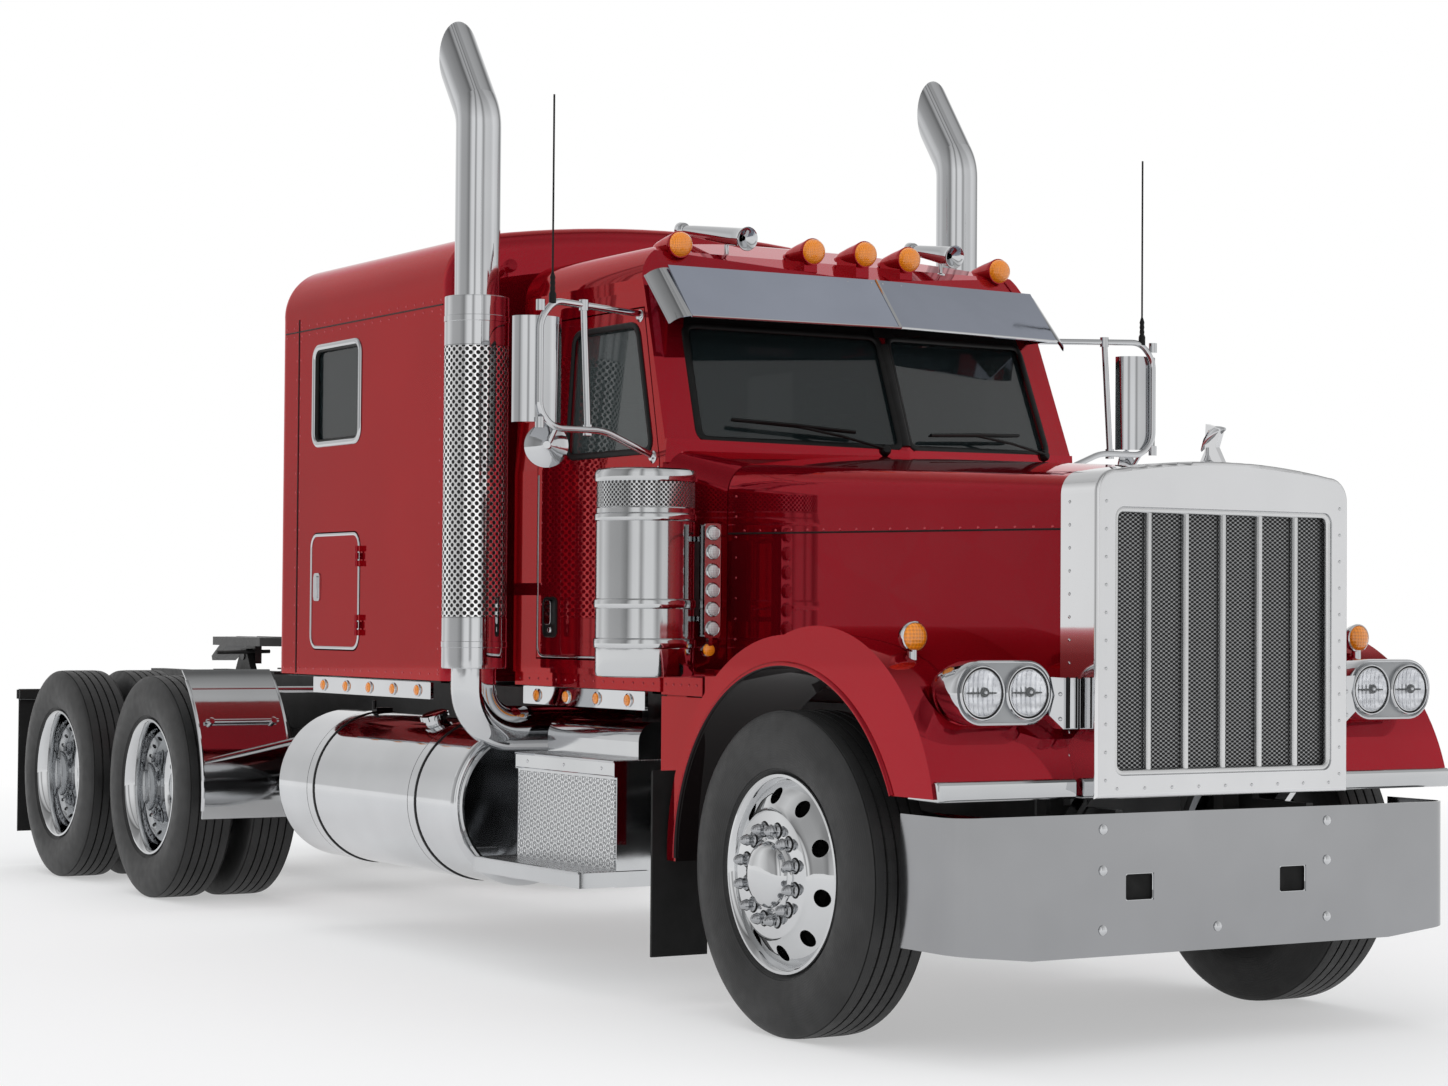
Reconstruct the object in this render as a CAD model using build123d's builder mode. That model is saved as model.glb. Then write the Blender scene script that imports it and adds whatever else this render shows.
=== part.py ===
from build123d import *
import math
import os

# A conventional long-nose semi truck tractor unit with a sleeper box.
# Millimetres. The truck faces -Y, +Z is up, +X is its left-hand (driver's) side.
# The origin is on the ground under the middle of the truck.

os.makedirs("parts", exist_ok=True)

SIDES = (("right", -1), ("left", 1))

# ---- layout along the truck ------------------------------------------------
FRONT_OVERHANG = 935.0      # front axle to the face of the grille shell
AXLE_SPAN = 5637.0          # front axle to forward drive axle
TANDEM_SPAN = 1345.0        # forward to rear drive axle
REAR_OVERHANG = 823.0       # rear drive axle to the mud flap hangers
OVERALL_LENGTH = FRONT_OVERHANG + AXLE_SPAN + TANDEM_SPAN + REAR_OVERHANG
FRONT = -OVERALL_LENGTH / 2
STEER_Y = FRONT + FRONT_OVERHANG
DRIVE_Y = (STEER_Y + AXLE_SPAN, STEER_Y + AXLE_SPAN + TANDEM_SPAN)
REAR = OVERALL_LENGTH / 2
SEAT_GAP = 0.3              # clearance between pieces that sit on one another
RUN_GAP = 6.0               # clearance between moving panels
PIN_GAP = 0.3               # radial clearance round pins and spindles

# ---- wheels ----------------------------------------------------------------
TYRE_R = 552.0
TYRE_WIDTH = 280.0
RIM_R = 335.0               # outer radius of the rim flange
RIM_HALF = 117.0            # middle of the rim to the edge of its flange
RIM_FLANGE = 11.0
RIM_WELL = 15.0
STEER_X = 1029.0            # middle of a front tyre
OUTER_X = 1128.0            # middle of an outer dual tyre
DUAL_SPACING = 335.0
INNER_X = OUTER_X - DUAL_SPACING
AXLE_Z = TYRE_R
KINGPIN_X = 905.0
KINGPIN_R = 24.0
SPINDLE_R = 42.0

# ---- frame -----------------------------------------------------------------
RAIL_X = 430.0              # outer face of a rail's web
RAIL_FLANGE = 80.0
RAIL_WALL = 9.0
RAIL_Z = (830.0, 1100.0)
RAIL_FRONT = STEER_Y - 600.0
RAIL_REAR = REAR - 45.0
HORN_Z = (560.0, 800.0)

# ---- bumper ----------------------------------------------------------------
BUMPER_Y = STEER_Y - 898.0
BUMPER_HALF = 1074.0
BUMPER_Z = (330.0, 790.0)
BUMPER_END_Z = 362.0
BUMPER_FLAT_HALF = 775.0
BUMPER_RETURN = 303.0
BUMPER_WALL = 8.0
BUMPER_CORNER = 85.0
TOW_X = 333.0
TOW_Z = 549.0
TOW_SIZE = (118.0, 87.0)

# ---- grille shell ----------------------------------------------------------
SHELL_HALF = 548.0
SHELL_Z = (840.0, 1943.0)
SHELL_SIDE_TOP = 1825.0
SHELL_SHOULDER = (468.0, 1905.0)
SHELL_DEPTH = 186.0
SHELL_WALL = 22.0
GRILLE_HALF = 472.0
GRILLE_Z = (913.0, 1784.0)
GRILLE_CORNER = 36.0
GRILLE_BARS_X = (-319.0, -160.0, 0.0, 160.0, 319.0)
GRILLE_BAR = (14.0, 16.0)   # width and how far it stands proud of the mesh

# ---- hood and fenders ------------------------------------------------------
HOOD_WALL = 20.0
HOOD_SILL_Z = 1190.0
HOOD_REAR_Y = STEER_Y + 862.0
HOOD_FRONT_Y = FRONT + SHELL_DEPTH
# columns: half width, top of the flat side, shoulder half width, shoulder z, crown z
HOOD_FRONT_SECTION = (530.0, 1800.0, 440.0, 1890.0, 1932.0)
HOOD_REAR_SECTION = (826.0, 1872.0, 706.0, 1985.0, 2034.0)
HOOD_PIVOT = (STEER_Y - 850.0, 600.0)
HOOD_PIN_R = 12.0
HOOD_ARM_X = (436.0, 462.0)
# goose-neck outline from the pivot up to the shell, relative to the pivot
HOOD_ARM = ((-10, 17), (172, 128), (70, 236), (99, 264), (235, 115), (10, -17))
FENDER_X = 1120.0
FENDER_ARCH_Y = STEER_Y + 30.0
FENDER_LIP_R = (698.0, 760.0)
FENDER_CROWN_R = 806.0
FENDER_WALL = 24.0
FENDER_BEAD_R = 11.0
FENDER_BEAD_IN = 3.0        # how far the bead stands into the arch
FENDER_FRONT = (STEER_Y - 838.0, 848.0)
FENDER_BROW = (STEER_Y - 640.0, 1205.0)
FENDER_REAR_Z = 540.0
FENDER_ROUND = 45.0

# ---- head lamps ------------------------------------------------------------
LAMP_X = (749.0, 931.0)
LAMP_Z = 1181.0
LAMP_Y = STEER_Y - 838.0
POD_R = 105.0
POD_DEPTH = 190.0
TURN_LAMP = (980.0, STEER_Y - 525.0, 1357.0)
TURN_LAMP_R = 52.0

# ---- cab -------------------------------------------------------------------
WALL = 45.0
CAB_HALF = 965.0
CAB_SILL_Z = 1190.0
COWL_SKIRT_TOP = 1120.0
CAB_BELT_Z = 2000.0
# columns: half width, z up the greenhouse side, then over the roof
CAB_EAVE = (925.0, 2660.0)
CAB_SHOULDER = (790.0, 2850.0)
CAB_CROWN_Z = 2925.0
COWL_Y = STEER_Y + 870.0
COWL_JOIN_Y = STEER_Y + 1105.0
CAB_REAR_Y = STEER_Y + 2285.0
SHELF_Z = 2052.0            # cowl top under the windshield
SHELF_NOSE = 12.0           # how far the cowl top stands ahead of the glass
# windshield: middle foot, outer foot and middle head of the sloped glass plane
SHIELD_FOOT = (0.0, STEER_Y + 886.0, 2056.0)
SHIELD_CORNER = (864.0, STEER_Y + 1076.0, 2076.0)
SHIELD_HEAD = (0.0, STEER_Y + 1052.0, 2480.0)
PANE_INNER = 24.0
PANE_OUTER = 862.0
PANE_FOOT = 16.0
PANE_HEAD = 482.0
GLASS = 7.0
ROOF_FRONT_Z = 2725.0
FIREWALL_Y = STEER_Y + 1060.0

# ---- doors -----------------------------------------------------------------
DOOR_Y = (STEER_Y + 1131.0, STEER_Y + 2085.0)
DOOR_Z = (1250.0, 2590.0)
DOOR_WINDOW_Y = (STEER_Y + 1190.0, STEER_Y + 1850.0)
DOOR_WINDOW_Z = (2040.0, 2530.0)
DOOR_WINDOW_LEAN = 165.0
DOOR_LEAN = 185.0           # how far the front edge leans back above the belt
DOOR_HINGE_Y = DOOR_Y[0] - 3.0
DOOR_HINGE_Z = (1400.0, 1850.0)
HINGE_R = 9.0
HINGE_PIN_R = 4.5
HINGE_STANDOFF = 16.0       # skin to hinge axis

# ---- sleeper ---------------------------------------------------------------
SLEEPER_HALF = 1150.0
SLEEPER_Y = (STEER_Y + 2500.0, STEER_Y + 4284.0)
SLEEPER_SILL_Z = 1145.0
SLEEPER_EAVE_Z = 2760.0
SLEEPER_SHOULDER = (950.0, 3005.0)
SLEEPER_CROWN_Z = 3085.0
SLEEPER_ROUND = 85.0
SLEEPER_WINDOW_Y = (STEER_Y + 3392.0, STEER_Y + 3875.0)
SLEEPER_WINDOW_Z = (2180.0, 2610.0)
HATCH_Y = (STEER_Y + 3375.0, STEER_Y + 3893.0)
HATCH_Z = (1262.0, 1775.0)
HATCH_HINGE_Y = HATCH_Y[0] - 3.0
HATCH_HINGE_Z = (1370.0, 1670.0)
BUNK_Y = STEER_Y + 3330.0
BUNK_Z = 1850.0
BOOT_HALF = 640.0
BOOT_Z = (1290.0, 2600.0)

# ---- tanks, steps, stacks --------------------------------------------------
TANK_X = 870.0
TANK_Z = 645.0
TANK_R = 335.0
TANK_ROUND = 28.0
TANK_Y = (STEER_Y + 2340.0, STEER_Y + 4120.0)
STRAP_Y = (STEER_Y + 2720.0, STEER_Y + 3745.0)
STRAP_WIDTH = 58.0
STRAP_WALL = 5.0
STEP_Y = (STEER_Y + 1300.0, STEER_Y + 2095.0)
STEP_Z = (395.0, 870.0)
STEP_X = 1050.0
TREAD_X = 1200.0
TREAD_Z = (398.0, 455.0)
COVER_X = 940.0
COVER_Z = 1015.0
COVER_REAR_Y = STEER_Y + 2030.0
STACK_X = 1190.0
STACK_Y = STEER_Y + 2198.0
PIPE_R = 91.0
PIPE_WALL = 3.0
GUARD_R = 129.0
GUARD_Z = (1205.0, 2690.0)
STACK_TOP_Z = 3428.0        # where the turned-out tip leaves the upright
STACK_TURN = 35.5           # tip's lean to the rear
STACK_MOUTH_Y = STACK_Y + 178.0
ELBOW_Z = 962.0

# ---- air cleaners and mirrors ----------------------------------------------
CLEANER_X = 1150.0
CLEANER_Y = STEER_Y + 910.0
CLEANER_R = 188.0
CLEANER_Z = (1197.0, 1953.0)
ARM_R = 12.5
ARM_OUTER = (1453.0, STEER_Y + 1168.0)
ARM_INNER_X = 1240.0
ARM_Z = (2105.0, 2576.0)
MIRROR_X = (1330.0, 1520.0)
MIRROR_Y = (STEER_Y + 1178.0, STEER_Y + 1262.0)
MIRROR_Z = (2128.0, 2520.0)
CONVEX_Z = 2046.0
CONVEX_R = 82.0
ANTENNA = (1400.0, STEER_Y + 1175.0, 3345.0)

# ---- fifth wheel -----------------------------------------------------------
FIFTH_Y = STEER_Y + 6400.0
FIFTH_PIN_Z = 1195.0
FIFTH_TOP_Z = 1290.0
FIFTH_HALF = 455.0
FIFTH_LENGTH = (430.0, 520.0)
KINGPIN_SLOT_R = 26.0


def front_view(y):
    """Sketch plane across the truck at y: local x is X, local y is Z."""
    return Plane(origin=(0, y, 0), x_dir=(1, 0, 0), z_dir=(0, -1, 0))


def side_view(x):
    """Sketch plane along the truck at x: local x is Y, local y is Z."""
    return Plane(origin=(x, 0, 0), x_dir=(0, 1, 0), z_dir=(1, 0, 0))


def block(x, y, z, mode=Mode.ADD):
    """Box between the two values of each pair."""
    with BuildSketch(Plane.XY.offset(min(z))) as base:
        with Locations(((x[0] + x[1]) / 2, (y[0] + y[1]) / 2)):
            Rectangle(abs(x[1] - x[0]), abs(y[1] - y[0]))
    extrude(base.sketch, amount=abs(z[1] - z[0]), mode=mode)


def rod(start, end, radius, mode=Mode.ADD):
    """Round bar between two points."""
    along = Vector(*end) - Vector(*start)
    with BuildSketch(Plane(origin=start, z_dir=along)) as disc:
        Circle(radius)
    extrude(disc.sketch, amount=along.length, mode=mode)


def tube(points, bend, radius, bore=0.0, mode=Mode.ADD):
    """Bent tube along straight runs joined by arcs."""
    with BuildLine() as route:
        FilletPolyline(*points, radius=bend)
    path = route.line
    with BuildSketch(Plane(origin=path @ 0, z_dir=path % 0)) as ring:
        Circle(radius)
        if bore:
            Circle(bore, mode=Mode.SUBTRACT)
    sweep(ring.sketch, path=path, mode=mode)


def prism(plane, points, amount, both=False, mode=Mode.ADD):
    """Closed straight-sided outline pushed out of its plane."""
    with BuildSketch(plane) as outline:
        with BuildLine():
            Polyline(*points, close=True)
        make_face()
    extrude(outline.sketch, amount=amount, both=both, mode=mode)


def arch_face(plane, half, foot_z, side_z, shoulder, crown_z):
    """Face with straight sides, round shoulders and a crowned top."""
    rise = math.sin(math.radians(45))
    knee = (half - (half - shoulder[0]) * (1 - rise), side_z + (shoulder[1] - side_z) * rise)
    with BuildSketch(plane) as face:
        with BuildLine():
            Line((-half, side_z), (-half, foot_z))
            Line((-half, foot_z), (half, foot_z))
            Line((half, foot_z), (half, side_z))
            ThreePointArc((half, side_z), knee, shoulder)
            ThreePointArc(shoulder, (0, crown_z), (-shoulder[0], shoulder[1]))
            ThreePointArc((-shoulder[0], shoulder[1]), (-knee[0], knee[1]), (-half, side_z))
        make_face()
    return face.sketch


def round_rect(plane, across, up, radius):
    """Rounded rectangle between the two values of each pair."""
    with BuildSketch(plane) as face:
        with Locations(((across[0] + across[1]) / 2, (up[0] + up[1]) / 2)):
            RectangleRounded(abs(across[1] - across[0]), abs(up[1] - up[0]), radius)
    return face.sketch


def hinge_lugs(side, skin_x, y, z):
    """Fixed half of a door hinge: two lugs ahead of the axis, and the pin."""
    x = side * (skin_x + HINGE_STANDOFF)
    for low in (z - 45, z + 20):
        rod((x, y, low), (x, y, low + 25), HINGE_R)
        block((side * (skin_x - 8), x), (y - 30, y - 3), (low, low + 25))
    rod((x, y, z - 40), (x, y, z + 40), HINGE_PIN_R)


def hinge_barrel(side, skin_x, y, z):
    """Moving half of a door hinge: a bored barrel with its leaf on the door."""
    x = side * (skin_x + HINGE_STANDOFF)
    rod((x, y, z - 14), (x, y, z + 14), HINGE_R)
    block((side * (skin_x - 8), x), (y + 3, y + 40), (z - 14, z + 14))
    rod((x, y, z - 20), (x, y, z + 20), HINGE_PIN_R + PIN_GAP, mode=Mode.SUBTRACT)


def save(piece, name):
    piece.part.label = name
    export_step(piece.part, f"parts/{name}.step")


# ============================================================================
# Chassis
# ============================================================================
with BuildPart() as frame_rails:
    for _, side in SIDES:
        web = (side * (RAIL_X - RAIL_WALL), side * RAIL_X)
        flange = (side * (RAIL_X - RAIL_FLANGE), side * RAIL_X)
        block(web, (RAIL_FRONT, RAIL_REAR), RAIL_Z)
        block(flange, (RAIL_FRONT, RAIL_REAR), (RAIL_Z[0], RAIL_Z[0] + RAIL_WALL))
        block(flange, (RAIL_FRONT, RAIL_REAR), (RAIL_Z[1] - RAIL_WALL, RAIL_Z[1]))
        # bumper horn, dropped below the rail
        horn = (side * (RAIL_X - 30), side * RAIL_X)
        block(horn, (BUMPER_Y + BUMPER_WALL + SEAT_GAP, RAIL_FRONT + 50), HORN_Z)
        block(horn, (RAIL_FRONT - 20, RAIL_FRONT + 50), (HORN_Z[0], RAIL_Z[1]))
        rod((side * (RAIL_X - 15), *HOOD_PIVOT), (side * (HOOD_ARM_X[1] + 6), *HOOD_PIVOT),
            HOOD_PIN_R)
        # cab and sleeper mounts
        for mount_y, sill_z in ((STEER_Y + 1200, CAB_SILL_Z), (CAB_REAR_Y - 150, CAB_SILL_Z),
                                (SLEEPER_Y[0] + 250, SLEEPER_SILL_Z),
                                (SLEEPER_Y[1] - 200, SLEEPER_SILL_Z)):
            block((side * (RAIL_X - 75), side * RAIL_X), (mount_y - 60, mount_y + 60),
                  (RAIL_Z[1], sill_z - SEAT_GAP))
        # tank hangers
        for strap_y in STRAP_Y:
            block((side * RAIL_X, side * (TANK_X - 200)), (strap_y - 40, strap_y + 40),
                  (TANK_Z - 290, TANK_Z + 290))
        # fifth wheel saddle ears with the pivot bore
        block((side * (RAIL_X - 80), side * RAIL_X), (FIFTH_Y - 420, FIFTH_Y + 420),
              (RAIL_Z[1], RAIL_Z[1] + 14))
        prism(side_view(side * (RAIL_X - 18)),
              ((FIFTH_Y - 110, RAIL_Z[1] + 10), (FIFTH_Y + 110, RAIL_Z[1] + 10),
               (FIFTH_Y + 34, FIFTH_PIN_Z + 34), (FIFTH_Y - 34, FIFTH_PIN_Z + 34)),
              18, both=True)
    cross_ys = (RAIL_FRONT + 30, STEER_Y + 1900, STEER_Y + 3600, DRIVE_Y[0] - 700,
                (DRIVE_Y[0] + DRIVE_Y[1]) / 2, RAIL_REAR - 40)
    for cross_y in cross_ys:
        block((-RAIL_X + RAIL_WALL / 2, RAIL_X - RAIL_WALL / 2), (cross_y - 40, cross_y + 40),
              (RAIL_Z[0] + 20, RAIL_Z[1] - 20))
    for _, side in SIDES:
        rod((side * TANK_X, TANK_Y[0] - 50, TANK_Z), (side * TANK_X, TANK_Y[1] + 50, TANK_Z),
            TANK_R + STRAP_WALL + SEAT_GAP, mode=Mode.SUBTRACT)
    rod((-RAIL_X - 50, FIFTH_Y, FIFTH_PIN_Z), (RAIL_X + 50, FIFTH_Y, FIFTH_PIN_Z),
        25 + PIN_GAP, mode=Mode.SUBTRACT)
save(frame_rails, "frame_rails")

BEAM_Z = 500.0              # top of the axle beam's spring seats
SPRING_X = RAIL_X - 40.0
with BuildPart() as front_axle:
    prism(front_view(STEER_Y),
          ((-KINGPIN_X, 505), (-640, 505), (-520, BEAM_Z - 110), (520, BEAM_Z - 110), (640, 505),
           (KINGPIN_X, 505), (KINGPIN_X, 595), (600, 595), (480, BEAM_Z), (-480, BEAM_Z),
           (-600, 595), (-KINGPIN_X, 595)), 55, both=True)
    for _, side in SIDES:
        eye = (side * KINGPIN_X, STEER_Y)
        rod((*eye, 505), (*eye, 595), 58)
        rod((*eye, 400), (*eye, 700), KINGPIN_R + PIN_GAP, mode=Mode.SUBTRACT)
        spring_x = (side * (SPRING_X - 38), side * (SPRING_X + 38))
        block(spring_x, (STEER_Y - 60, STEER_Y + 60), (BEAM_Z - 10, 670))
        prism(side_view(side * SPRING_X),
              ((STEER_Y - 530, 745), (STEER_Y, 640), (STEER_Y + 700, 745),
               (STEER_Y + 700, 765), (STEER_Y, 700), (STEER_Y - 530, 765)), 38, both=True)
        for hanger_y in (STEER_Y - 500, STEER_Y + 670):
            block(spring_x, (hanger_y - 25, hanger_y + 25), (750, RAIL_Z[0] - SEAT_GAP))
save(front_axle, "front_axle")

HOUSING_R = 72.0
with BuildPart() as drive_axles:
    for axle_y in DRIVE_Y:
        rod((-620, axle_y, AXLE_Z), (620, axle_y, AXLE_Z), HOUSING_R)
        rod((-1010, axle_y, AXLE_Z), (1010, axle_y, AXLE_Z), SPINDLE_R)
        with Locations((0, axle_y, AXLE_Z)):
            Sphere(205)
        rod((0, axle_y - 300, AXLE_Z + 20), (0, axle_y, AXLE_Z + 20), 95)
        for _, side in SIDES:
            arm_x = (side * (RAIL_X - 75), side * (RAIL_X - 5))
            block(arm_x, (axle_y - 330, axle_y + 420), (AXLE_Z + HOUSING_R - 20, AXLE_Z + 140))
            block(arm_x, (axle_y - 330, axle_y - 250), (AXLE_Z + 90, RAIL_Z[0] - SEAT_GAP))
            rod((side * (RAIL_X - 40), axle_y + 300, AXLE_Z + 130),
                (side * (RAIL_X - 40), axle_y + 300, RAIL_Z[0] - SEAT_GAP), 105)
save(drive_axles, "drive_axles")

ENGINE_Y = (STEER_Y - 330.0, STEER_Y + 800.0)
GEARBOX_REAR_Y = STEER_Y + 1620.0
SHAFT_GAP = 4.0             # end play of the sloping shaft, 0.3 at its edge
with BuildPart() as engine:
    block((-325, 325), ENGINE_Y, (720, 1680))
    block((-215, 215), (ENGINE_Y[1] - 20, GEARBOX_REAR_Y), (730, 1140))
    for _, side in SIDES:
        for lug_y in (ENGINE_Y[0] + 150, ENGINE_Y[1] - 150):
            block((side * 300, side * (RAIL_X - RAIL_WALL - SEAT_GAP)), (lug_y - 50, lug_y + 50),
                  (930, 1010))
save(engine, "engine")

with BuildPart() as drive_shaft:
    rod((0, GEARBOX_REAR_Y + SHAFT_GAP, 800), (0, DRIVE_Y[0] - 300 - SHAFT_GAP, AXLE_Z + 20), 52)
    rod((0, DRIVE_Y[0] + 205.5, AXLE_Z + 20), (0, DRIVE_Y[1] - 300 - SEAT_GAP, AXLE_Z + 20), 48)
save(drive_shaft, "drive_shaft")

# ============================================================================
# Wheels
# ============================================================================
def tyre_ring(centre_x):
    """One tyre, its middle at centre_x and its axle on the X axis through AXLE_Z."""
    half = TYRE_WIDTH / 2
    bead = RIM_HALF - RIM_FLANGE - SEAT_GAP
    bead_r = RIM_R - RIM_WELL + SEAT_GAP
    with BuildSketch(side_plane) as ring:
        with BuildLine():
            Polyline((centre_x - bead, bead_r), (centre_x - bead, RIM_R + 4),
                     (centre_x - half + 8, RIM_R + 90),
                     (centre_x - half, RIM_R + 130), (centre_x - half + 14, TYRE_R - 28),
                     (centre_x - half + 38, TYRE_R), (centre_x + half - 38, TYRE_R),
                     (centre_x + half - 14, TYRE_R - 28), (centre_x + half, RIM_R + 130),
                     (centre_x + half - 8, RIM_R + 90), (centre_x + bead, RIM_R + 4),
                     (centre_x + bead, bead_r), close=True)
        make_face()
    return ring.sketch


def rim_points(centre_x):
    """Rim barrel section: outside line, then back along the inside."""
    flange = RIM_HALF
    well = flange - RIM_FLANGE
    return ((centre_x - flange, RIM_R), (centre_x - well, RIM_R),
            (centre_x - well, RIM_R - RIM_WELL), (centre_x + well, RIM_R - RIM_WELL),
            (centre_x + well, RIM_R), (centre_x + flange, RIM_R),
            (centre_x + flange, RIM_R - 28), (centre_x - flange, RIM_R - 28))


DISC_WALL = 24.0
DISC_PROUD = 14.0           # steer disc's inner face beyond the rim flange
HUB_R = 118.0
LUGS = 12
LUG_RING_R = 155.0
LUG_R = 17.0
LUG_LONG = 54.0
HAND_HOLES = 10
HAND_RING_R = 264.0
HAND_R = 29.0


def lug_nuts(axle_y, face_x, side):
    """Covered wheel nuts in a ring, standing on the disc's outer face."""
    for turn in range(LUGS):
        around = math.radians(360.0 / LUGS * (turn + 0.5))
        y = axle_y + LUG_RING_R * math.cos(around)
        z = AXLE_Z + LUG_RING_R * math.sin(around)
        rod((side * (face_x - 4), y, z), (side * (face_x + 0.6 * LUG_LONG), y, z), LUG_R)
        rod((side * face_x, y, z), (side * (face_x + LUG_LONG), y, z), 0.6 * LUG_R)


def hand_holes(axle_y, centre_x, ring_r, reach):
    for turn in range(HAND_HOLES):
        around = math.radians(360.0 / HAND_HOLES * turn)
        y = axle_y + ring_r * math.cos(around)
        z = AXLE_Z + ring_r * math.sin(around)
        rod((centre_x - reach, y, z), (centre_x + reach, y, z), HAND_R, mode=Mode.SUBTRACT)


for name, side in SIDES:
    side_plane = Plane(origin=(0, STEER_Y, AXLE_Z), x_dir=(side, 0, 0), z_dir=(0, -side, 0))
    axle_line = Axis((0, STEER_Y, AXLE_Z), (1, 0, 0))
    disc_x = STEER_X + RIM_HALF + DISC_PROUD

    with BuildPart() as front_tyre:
        revolve(tyre_ring(STEER_X), axis=axle_line)
    save(front_tyre, f"front_tyre_{name}")

    with BuildPart() as front_wheel:
        with BuildSketch(side_plane) as section:
            with BuildLine():
                Polyline(*rim_points(STEER_X), close=True)
            make_face()
            with BuildLine():
                Polyline((disc_x, HUB_R), (disc_x + DISC_WALL, HUB_R), (disc_x + DISC_WALL, 195),
                         (disc_x + 8, 235), (disc_x - 12, 272), (disc_x - 28, RIM_R - 20),
                         (disc_x - 54, RIM_R - 20), (disc_x - 36, 268), (disc_x - 16, 230),
                         (disc_x, 193), close=True)
            make_face()
            with BuildLine():
                Polyline((STEER_X - 48, SPINDLE_R + PIN_GAP), (STEER_X - 48, 150),
                         (STEER_X - 20, 150), (STEER_X - 20, HUB_R), (disc_x + 26, HUB_R),
                         (disc_x + 30, 98), (disc_x + 62, 90), (disc_x + 76, 60), (disc_x + 80, 0),
                         (disc_x + 50, 0), (disc_x + 50, SPINDLE_R + PIN_GAP), close=True)
            make_face()
        revolve(section.sketch, axis=axle_line)
        hand_holes(STEER_Y, side * disc_x, HAND_RING_R, 60)
        lug_nuts(STEER_Y, disc_x + DISC_WALL, side)
    save(front_wheel, f"front_wheel_{name}")

    with BuildPart() as knuckle:
        pin = (side * KINGPIN_X, STEER_Y)
        rod((*pin, 430), (*pin, 670), KINGPIN_R)
        rod((*pin, 430), (*pin, 505 - RUN_GAP), 62)
        rod((*pin, 595 + RUN_GAP), (*pin, 675), 62)
        block((side * (KINGPIN_X + 62), side * (KINGPIN_X + 20)), (STEER_Y - 62, STEER_Y + 62),
              (430, 505 - RUN_GAP))
        block((side * (KINGPIN_X + 62), side * (KINGPIN_X + 20)), (STEER_Y - 62, STEER_Y + 62),
              (595 + RUN_GAP, 675))
        spindle_start = KINGPIN_X + 64
        block((side * spindle_start, side * (KINGPIN_X + 34)), (STEER_Y - 62, STEER_Y + 62),
              (430, 675))
        rod((side * (KINGPIN_X + 40), STEER_Y, AXLE_Z), (side * (disc_x + 46), STEER_Y, AXLE_Z),
            SPINDLE_R)
        # steering arm to the rear
        block((side * (KINGPIN_X - 40), side * (KINGPIN_X + 20)), (STEER_Y + 40, STEER_Y + 230),
              (440, 480))
        rod((*pin, 505 - RUN_GAP), (*pin, 595 + RUN_GAP), 58 + RUN_GAP, mode=Mode.SUBTRACT)
        rod((*pin, 430), (*pin, 670), KINGPIN_R)
    save(knuckle, f"knuckle_{name}")

mid_x = (OUTER_X + INNER_X) / 2
for row, axle_y in zip(("forward", "rear"), DRIVE_Y):
    for name, side in SIDES:
        side_plane = Plane(origin=(0, axle_y, AXLE_Z), x_dir=(side, 0, 0), z_dir=(0, -side, 0))
        axle_line = Axis((0, axle_y, AXLE_Z), (1, 0, 0))

        with BuildPart() as dual_tyres:
            revolve(tyre_ring(OUTER_X), axis=axle_line)
            revolve(tyre_ring(INNER_X), axis=axle_line)
        save(dual_tyres, f"{row}_tyres_{name}")

        with BuildPart() as dual_wheel:
            with BuildSketch(side_plane) as section:
                for centre_x in (OUTER_X, INNER_X):
                    with BuildLine():
                        Polyline(*rim_points(centre_x), close=True)
                    make_face()
                with BuildLine():
                    Polyline((mid_x - 22, HUB_R), (mid_x + 22, HUB_R), (mid_x + 22, RIM_R - 110),
                             (mid_x + 90, RIM_R - 20), (mid_x - 90, RIM_R - 20),
                             (mid_x - 22, RIM_R - 110), close=True)
                make_face()
                with BuildLine():
                    Polyline((mid_x - 130, SPINDLE_R + PIN_GAP), (mid_x - 130, HUB_R),
                             (mid_x - 250, HUB_R), (mid_x - 250, 212), (mid_x - 20, 212),
                             (mid_x - 20, HUB_R), (mid_x + 110, HUB_R), (mid_x + 150, 100),
                             (mid_x + 150, 0), (mid_x + 60, 0), (mid_x + 60, SPINDLE_R + PIN_GAP),
                             close=True)
                make_face()
            revolve(section.sketch, axis=axle_line)
            hand_holes(axle_y, side * mid_x, RIM_R - 75, 100)
            lug_nuts(axle_y, mid_x + 22, side)
        save(dual_wheel, f"{row}_wheel_{name}")

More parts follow.
